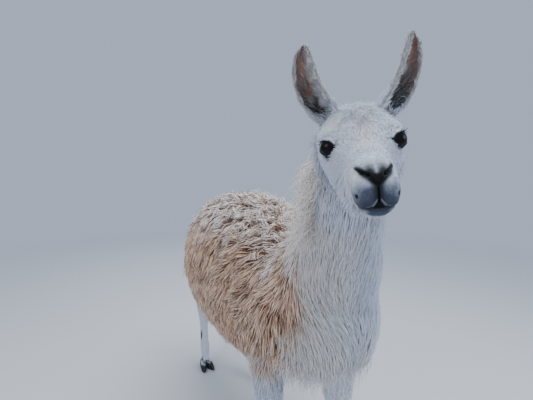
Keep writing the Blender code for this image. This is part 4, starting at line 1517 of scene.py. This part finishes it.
def growHead():
    # Short plush from the nose backwards, none on bare skin, longer and hanging at the nape and jaw.
    maker = np.random.default_rng(15)
    rings = fromHead(headRings())
    at = toHead(rings)
    black, grey, smoke, _ = faceMarks(at)
    density = 1.3 - 0.4 * smooth(0.0, 0.08, at[..., 1]) - 0.5 * smoke
    for side in (-1, 1):
        distance, _, beyond, _ = eyeLevels(at, side)
        density = density * np.where(distance < 1.6 * eye["radius"], smooth(4, 9, beyond), 1)
    density = density * (1 - smooth(0.10, 0.45, np.maximum(black, grey))) + 1e-4
    roots, normals, chart, _ = rooted(rings, headHair["roots"], 5, density, 0.004)
    x, y, z = toHead(roots).T
    count = len(roots)
    outward = 0.35 * np.sign(x) * smooth(0.0, 0.03, np.abs(x))
    flow = gridOf(outward, 1.0, 0.7 * smooth(-0.02, 0.05, z) - 0.8 * smooth(0.0, -0.08, z)) @ headTurn.T
    jaw = smooth(-0.045, -0.100, z) * smooth(-0.115, -0.060, y)
    nape = np.maximum(smooth(0.005, 0.080, y), jaw)
    crown = smooth(0.045, 0.075, z) * smooth(0.0, 0.03, y)
    grain = lying(flow * (1 - nape[:, None]) + nape[:, None] * (0, 0.15, -1.5), normals)
    stray = 0.35 * ripple(roots, 0.05, 51) + maker.normal(0, 0.20, count)
    grain = turned(grain, normals, stray + crown * maker.normal(0, 0.9, count))
    muzzle = smooth(-0.10, -0.145, y)
    plush = np.maximum(nape, 0.7 * smooth(-0.005, 0.03, y) * smooth(-0.10, 0.0, z))
    coat = {**sized(headHair, muzzle, nape, plush, crown), "hang": 0.35 * nape}
    coat["rise"] = coat["rise"] * np.where(maker.random(count) < 0.25 * nape, 1.9, 1.0)
    tufts = locks(roots, normals, grain, chart, coat, maker)
    addCoat("coatHead", 0.36, tufts, allMarks(roots))


earHair = {
    "roots": (1900, 2000, 1300),  # on an ear's back, in its hollow, and on the rim between them
    # on the back, in the hollow, on the rim, at the back's fluffy root, towards the tip
    "length": (0, 0.0115, 0.021, 0.0105, 0.016, -0.005),
    "rise": (0, 0.0026, 0.0035, 0.0062, 0.010),
    "swing": (0, 0.0009, 0.0026, 0.0016),
    "clump": (0.3,),
    "width": (0, 0.0013, 0.00065, 0.0013, 0.0010),
    "widths": (0.7, 1.3),
    "uneven": 0.3,
    "rings": 3,
    "waves": 1.3,
    "perClump": 5,
    "clumpReach": 0.008,
    "hang": 0.0,
    "tones": 0.16,
}


def growEars():
    # Short hair on the backs, a fluffy root, and long pale wavy hairs across the dark hollow.
    maker = np.random.default_rng(16)
    gathered = []
    for k, name in enumerate(ears):
        rings = earRings(name)
        columns = np.arange(rings.shape[1])
        half = rings.shape[1] // 2
        onRim = np.minimum(columns % half, half - 1 - columns % half) < 1
        for place, picked in enumerate((columns < half, columns >= half, onRim)):
            density = np.tile(np.where(picked, 1.0, 1e-3), (rings.shape[0], 1))
            wanted = earHair["roots"][place] // few
            found = rooted(rings, wanted, 60 + 2 * k + place, density, 0.003)
            roots, normals, chart, ways = found
            own = np.ones(len(roots), int)
            chart = (chart + (k, place)) / (2, 3)
            at = toEar(name, roots)
            gathered.append((roots, normals, chart, ways, place * own, at, ears[name][0] * own))
    roots, normals, chart, ways, place, at, earSide = stacked(gathered)
    count = len(roots)
    onBack, inside, onRim = (place == k for k in range(3))
    across = np.cross(normals, ways)
    across = across * np.sign((across @ headTurn)[:, 0] * earSide)[:, None]  # towards the ear's outer edge
    base = smooth(0.045, 0.005, at[:, 2])
    tipward = smooth(0.11, 0.155, at[:, 2])
    grain = lying(ways + across * np.where(inside, 0.9, 0.15)[:, None], normals)
    grain = turned(grain, normals, 0.5 * ripple(roots, 0.02, 61) + maker.normal(0, 0.22, count))
    coat = sized(earHair, onBack, inside, onRim, base * onBack, tipward * ~onRim)
    coat["tone"] = np.where(inside, 0.45, 0.62)
    tufts = locks(roots, normals, grain, chart, coat, maker)
    marksAt = allMarks(roots)
    pale = maker.random(count) < 0.45
    marksAt["ear"] = np.where(inside & pale, 0.45, marksAt["ear"] * ~onRim)
    edge = (1 - base) * (0.18 + 0.30 * tipward) * maker.random(count)
    marksAt["grey"] = np.where(inside, 0.20, edge + onRim * maker.uniform(0.0, 0.26, count))
    marksAt["warm"] = 0.8 * (1 - base)
    addCoat("coatEars", 0.4, tufts, marksAt)


wisps = {
    "roots": (9000, 26000, 14000),  # tried on the neck, the head and the trunk
    "napeWays": ((-0.75, 0.65, 0.10), (0.55, 0.80, 0.10)),
    "nape": (0.70, 1.07),  # the least that the skin faces one of those ways, and the lowest height
    "knotPatch": (0.050, 0.052, 0.030, 0.040),  # half sizes, middle y and lowest height on the head
    "shares": {"knot": 0.42, "underline": 0.22, "flank": 0.5, "big": 0.09},
    "flankTuft": ((-0.25, 0.80, 0.73), (0.05, 0.08, 0.03)),  # a stray tuft's middle and half sizes
    # even ranges of length, turns, curl radius and width for each kind
    "length": {"neck": (0.045, 0.095), "knot": (0.016, 0.030), "hem": (0.030, 0.062), "big": (0.045, 0.070)},
    "turns": {"neck": (1.2, 2.8), "knot": (0.7, 1.3), "big": (1.0, 1.7)},
    "size": {"neck": (0.003, 0.0100), "knot": (0.0010, 0.0022), "big": (0.008, 0.0135)},
    "width": {"neck": (0.0013, 0.0026), "knot": (0.0009, 0.0017)},
}


def curled(start, ahead, aside, length, twists, size, rings, maker):
    # A strand that coils as it goes: a helix of growing then shrinking radius about a drooping line.
    t = np.append(np.linspace(0, 0.92, rings), 1.0)[:, None]
    length, twists, size = (values[:, None, None] for values in (length, twists, size))
    line = start[:, None] + ahead[:, None] * length * t - (0, 0, 0.45) * length * t**2
    phase = maker.uniform(0, 6.28, (len(start), 1, 1)) + 6.283 * twists * t
    girth = size * np.sin(np.pi * np.clip(t * 0.9 + 0.05, 0, 1)) ** 0.7 * np.minimum(1, 4 * t)
    other = np.cross(ahead, aside)
    return line + girth * (aside[:, None] * np.cos(phase) + other[:, None] * np.sin(phase))


def growWisps():
    # Loose curls down the back of the neck, a wavy topknot between the ears, and strays along the hems.
    maker = np.random.default_rng(17)
    sown = [
        rooted(partRings(neck, 70, 72), wisps["roots"][0] // few, 71),
        rooted(fromHead(headRings()), wisps["roots"][1] // few, 72, None, 0.004),
        rooted(trunkRings(90, 96, trunk["coat"]), wisps["roots"][2] // few, 73),
    ]
    facing = np.maximum(*(sown[0][1] @ unit(np.array(way)) for way in wisps["napeWays"]))
    least, lowest = wisps["nape"]
    nape = (facing > least) & (sown[0][0][:, 2] > lowest)
    shares = wisps["shares"]
    x, y, z = toHead(sown[1][0]).T
    halfX, halfY, middleY, lowest = wisps["knotPatch"]
    spread = np.hypot(x / halfX, (y - middleY) / halfY)
    knot = (z > lowest) & (maker.random(len(z)) < shares["knot"] * smooth(1.15, 0.35, spread))
    x, y, z = sown[2][0].T
    middle, halves = wisps["flankTuft"]
    underline = (y >= 0.02) & (z < 0.60) & (maker.random(len(z)) < shares["underline"])
    flank = np.linalg.norm((sown[2][0] - middle) / halves, axis=1) < 1
    flank = flank & (maker.random(len(z)) < shares["flank"])
    hem = ((((y < 0.02) & (z < 0.665)) | underline) & (sown[2][1][:, 2] < -0.25)) | flank
    picks = (nape, knot, hem)
    roots, normals, chart = stacked([values[pick] for values in part[:3]] for part, pick in zip(sown, picks))
    kind = np.repeat((0, 1, 2), [pick.sum() for pick in picks])
    # the neck has the map's left half, the other two a quarter each
    chart[:, 0] = chart[:, 0] * np.choose(kind, (0.5, 0.25, 0.25)) + np.choose(kind, (0.0, 0.5, 0.75))
    count = len(roots)
    onNeck, onHem = kind == 0, kind == 2

    def drawn(key, kind):
        # One even draw per strand from a kind's range.
        return maker.uniform(*wisps[key][kind], count)

    forward = headTurn @ np.array((0, -0.55, 0.10))
    parting = np.sign(maker.normal(size=(count, 1))) * (headTurn @ np.array((0.55, 0, 0)))
    hanging = normals * 0.85 + (-0.1, 0.2, -0.5)
    ahead = np.where(onNeck[:, None], hanging, normals * 0.10 + forward + parting)
    outwards = np.where(roots[:, 2:3] > 0.67, 1.2, 0.2)  # the flank's stray tuft stands away from the side
    ahead = np.where(onHem[:, None], (0, 0.05, -1.0) + outwards * normals, ahead)
    ahead = unit(ahead + maker.normal(0, 0.30, (count, 3)) * np.where(onHem, 0.5, 1.0)[:, None])
    maker.normal(size=(count, 3))  # not used: it keeps the later draws in their places
    length = np.where(onNeck, drawn("length", "neck"), drawn("length", "knot"))
    length = np.where(onHem, drawn("length", "hem"), length)
    turnsMade = np.where(onNeck, drawn("turns", "neck"), drawn("turns", "knot"))
    size = np.where(onNeck | onHem, drawn("size", "neck"), drawn("size", "knot"))
    # a few big loose curls stand out from the neck's edge
    big = onNeck & (maker.random(count) < shares["big"])
    standing = unit(normals * 1.3 + (-0.15, 0.1, -0.15) + maker.normal(0, 0.25, (count, 3)))
    ahead = np.where(big[:, None], standing, ahead)
    aside = unit(np.cross(ahead, maker.normal(size=(count, 3))))
    length = np.where(big, drawn("length", "big"), length)
    turnsMade = np.where(big, drawn("turns", "big"), turnsMade)
    size = np.where(big, drawn("size", "big"), size)
    spine = curled(roots, ahead, aside, length, turnsMade, size, 7, maker)
    width = np.where(onNeck | onHem, drawn("width", "neck") + 0.0008 * big, drawn("width", "knot"))
    marksAt = allMarks(roots)
    marksAt["fawn"] = np.where(onNeck, maker.uniform(0.0, 0.30, count) + 0.10 * big, marksAt["fawn"])
    marksAt["warm"] = np.where(onNeck, 1.0, marksAt["warm"])
    tone = np.clip(0.8 + maker.normal(0, 0.10, count), 0, 1)
    tufts = {"spine": spine, "side": aside, "width": width, "tone": tone, "chart": chart}
    addCoat("coatWisps", 0.5, tufts, marksAt)


lashes = {
    "perEye": 60,
    "angles": (1.15, 3.02),
    "out": 0.0012,
    "length": (0.009, 0.0165),
    "width": (0.0005, 0.0009),
    "points": 5,
}


def growLashes():
    # Fine lashes fanned along the upper lids: straight out, then curved up and down by the square.
    maker = np.random.default_rng(18)
    gathered = []
    for side in (-1, 1):
        angles = np.sort(maker.uniform(*lashes["angles"], lashes["perEye"]))
        edge, way = lidEdge(side, angles, lashes["out"])
        _, inner, up = eyeAxes(side)
        fan = (np.cos(angles)[:, None] - 0.35) * inner
        ahead = unit(way * 0.75 + fan * 0.9 - up * 0.05 + maker.normal(0, 0.10, way.shape))
        chart = gridOf(0.25 + 0.5 * (side > 0), angles / 3.2, 0)[:, :2]
        gathered.append((edge, ahead, np.broadcast_to(up, way.shape), chart))
    roots, ahead, up, chart = stacked(gathered)
    count = len(roots)
    length = maker.uniform(*lashes["length"], count)[:, None, None]
    t = np.linspace(0, 1, lashes["points"])[:, None]
    bend = 0.22 * up[:, None] - (0, 0, 0.30)
    spine = fromHead(roots[:, None] + ahead[:, None] * length * t + bend * length * t**2)
    side = unit(np.cross(spine[:, 1] - spine[:, 0], (0, 0, 1)))
    width = maker.uniform(*lashes["width"], count)
    marksAt = {key: 0 * value for key, value in allMarks(spine[:, 0]).items()}
    marksAt["grey"] = np.where(maker.random(count) < 0.30, 0.75, 0.0)
    tufts = {"spine": spine, "side": side, "width": width, "tone": np.full(count, 0.9), "chart": chart}
    addCoat("coatLashes", 0.6, tufts, marksAt)


def closedMesh(name, rings, finish):
    # A closed surface over the rings, carried onto the CAD, in one finish.
    points, faces = closedGrid(rings)
    mesh = meshOf(name, points + bodyShift, faces)
    mesh.materials.append(finish)
    return mesh


def makeEyes():
    # A ball with a low clear dome in front: the radius grows as a bell round the gaze.
    finish = eyeFinish()
    height, reach = eye["cornea"]
    rings, sides = eye["ball"]
    away = np.linspace(0.0005, math.pi - 0.0005, rings)[:, None, None]
    turn = turns(sides)[:, None]
    for side, node in ((-1, "eye_right"), (1, "eye_left")):
        gaze, inner, up = eyeAxes(side)
        way = np.cos(away) * gaze + np.sin(away) * (np.cos(turn) * inner + np.sin(turn) * up)
        points = eyeCentre(side) + way * (eye["radius"] + height * bell(away, reach))
        mesh = closedMesh(node + "Ball", fromHead(points), finish)
        flat = way.reshape(-1, 3)
        ring = np.arccos(np.clip(flat @ gaze, -1, 1)) / eye["iris"]
        wide, tall = eye["pupil"]
        pupil = np.hypot((flat @ inner) / wide, (flat @ up) / tall) + 2 * (flat @ gaze < 0)
        addMarks(mesh, {"ring": np.append(ring, (0, 5)), "pupil": np.append(pupil, (0, 5))})
        ball = objectOf(mesh.name, mesh)
        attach(ball, "root")
        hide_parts(node)


def makeNails():
    # One closed nail in the place of each nail node.
    finish = nailFinish()
    for name in legs:
        node = name[:4] + "_" + name[4:].lower()
        for side, word in ((-1, "right"), (1, "left")):
            mesh = closedMesh(f"{name}Nail{word.title()}", nailRings(name, side), finish)
            nail = objectOf(mesh.name, mesh)
            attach(nail, "root")
            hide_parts(f"{node}_nail_{word}")


def addFloor():
    # A wide flat disc: rings of points at growing distances from the middle. Far from the animal
    # it turns into the same pale light as the sky, so that no edge shows.
    radius = np.array(studio["floorRings"])[:, None]
    angle = turns(studio["floorSides"])
    points, faces = closedGrid(gridOf(radius * np.cos(angle), radius * np.sin(angle), 0.0))
    mesh = bpy.data.meshes.new("floor")
    mesh.from_pydata(points.tolist(), [], [face for face in faces if len(points) - 1 not in face])
    graph = Graph("floorPaper")
    length = graph.add("VectorMath", "Value", {"Vector": graph.place()}, operation="LENGTH")
    far = graph.span(length, *studio["fade"])
    paper = graph.blend(far, studio["floor"], "none")
    glow = graph.blend(far, "none", studio["sky"])
    light = {"Emission_Color": glow, "Emission_Strength": studio["skyStrength"]}
    mesh.materials.append(graph.finish(Base_Color=paper, Roughness=1.0, Specular_IOR_Level=0.0, **light))
    floor = objectOf("floor", mesh)


addCamera()
addLamps()
skinMesh = makeSkinMesh()
skinPoints = pointsOf(skinMesh)
skinTree = BVHTree.FromPolygons(skinPoints.tolist(), [tuple(f.vertices) for f in skinMesh.polygons])
addMarks(skinMesh, allMarks(skinPoints))
report("skin marked")
skinMesh.vertices.foreach_set("co", (skinPoints + bodyShift).ravel())
skinMesh.update()
skinMesh.shade_smooth()
skinMesh.materials.clear()
skinMesh.materials.append(skinFinish())
skin = objectOf("skin", skinMesh)
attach(skin, "root")
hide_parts(*[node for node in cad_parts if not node.startswith("eye") and "nail" not in node])
makeEyes()
makeNails()
report("eyes and nails made")
coatMaterial = coatFinish()
for grow in (growFleece, growTail, growLegs, growHead, growEars, growWisps, growLashes):
    grow()
    report(grow.__name__)
report(f"coat of {len(coatMade)} pieces and {sum(coatMade)} triangles")
addFloor()

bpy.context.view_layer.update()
report("done")
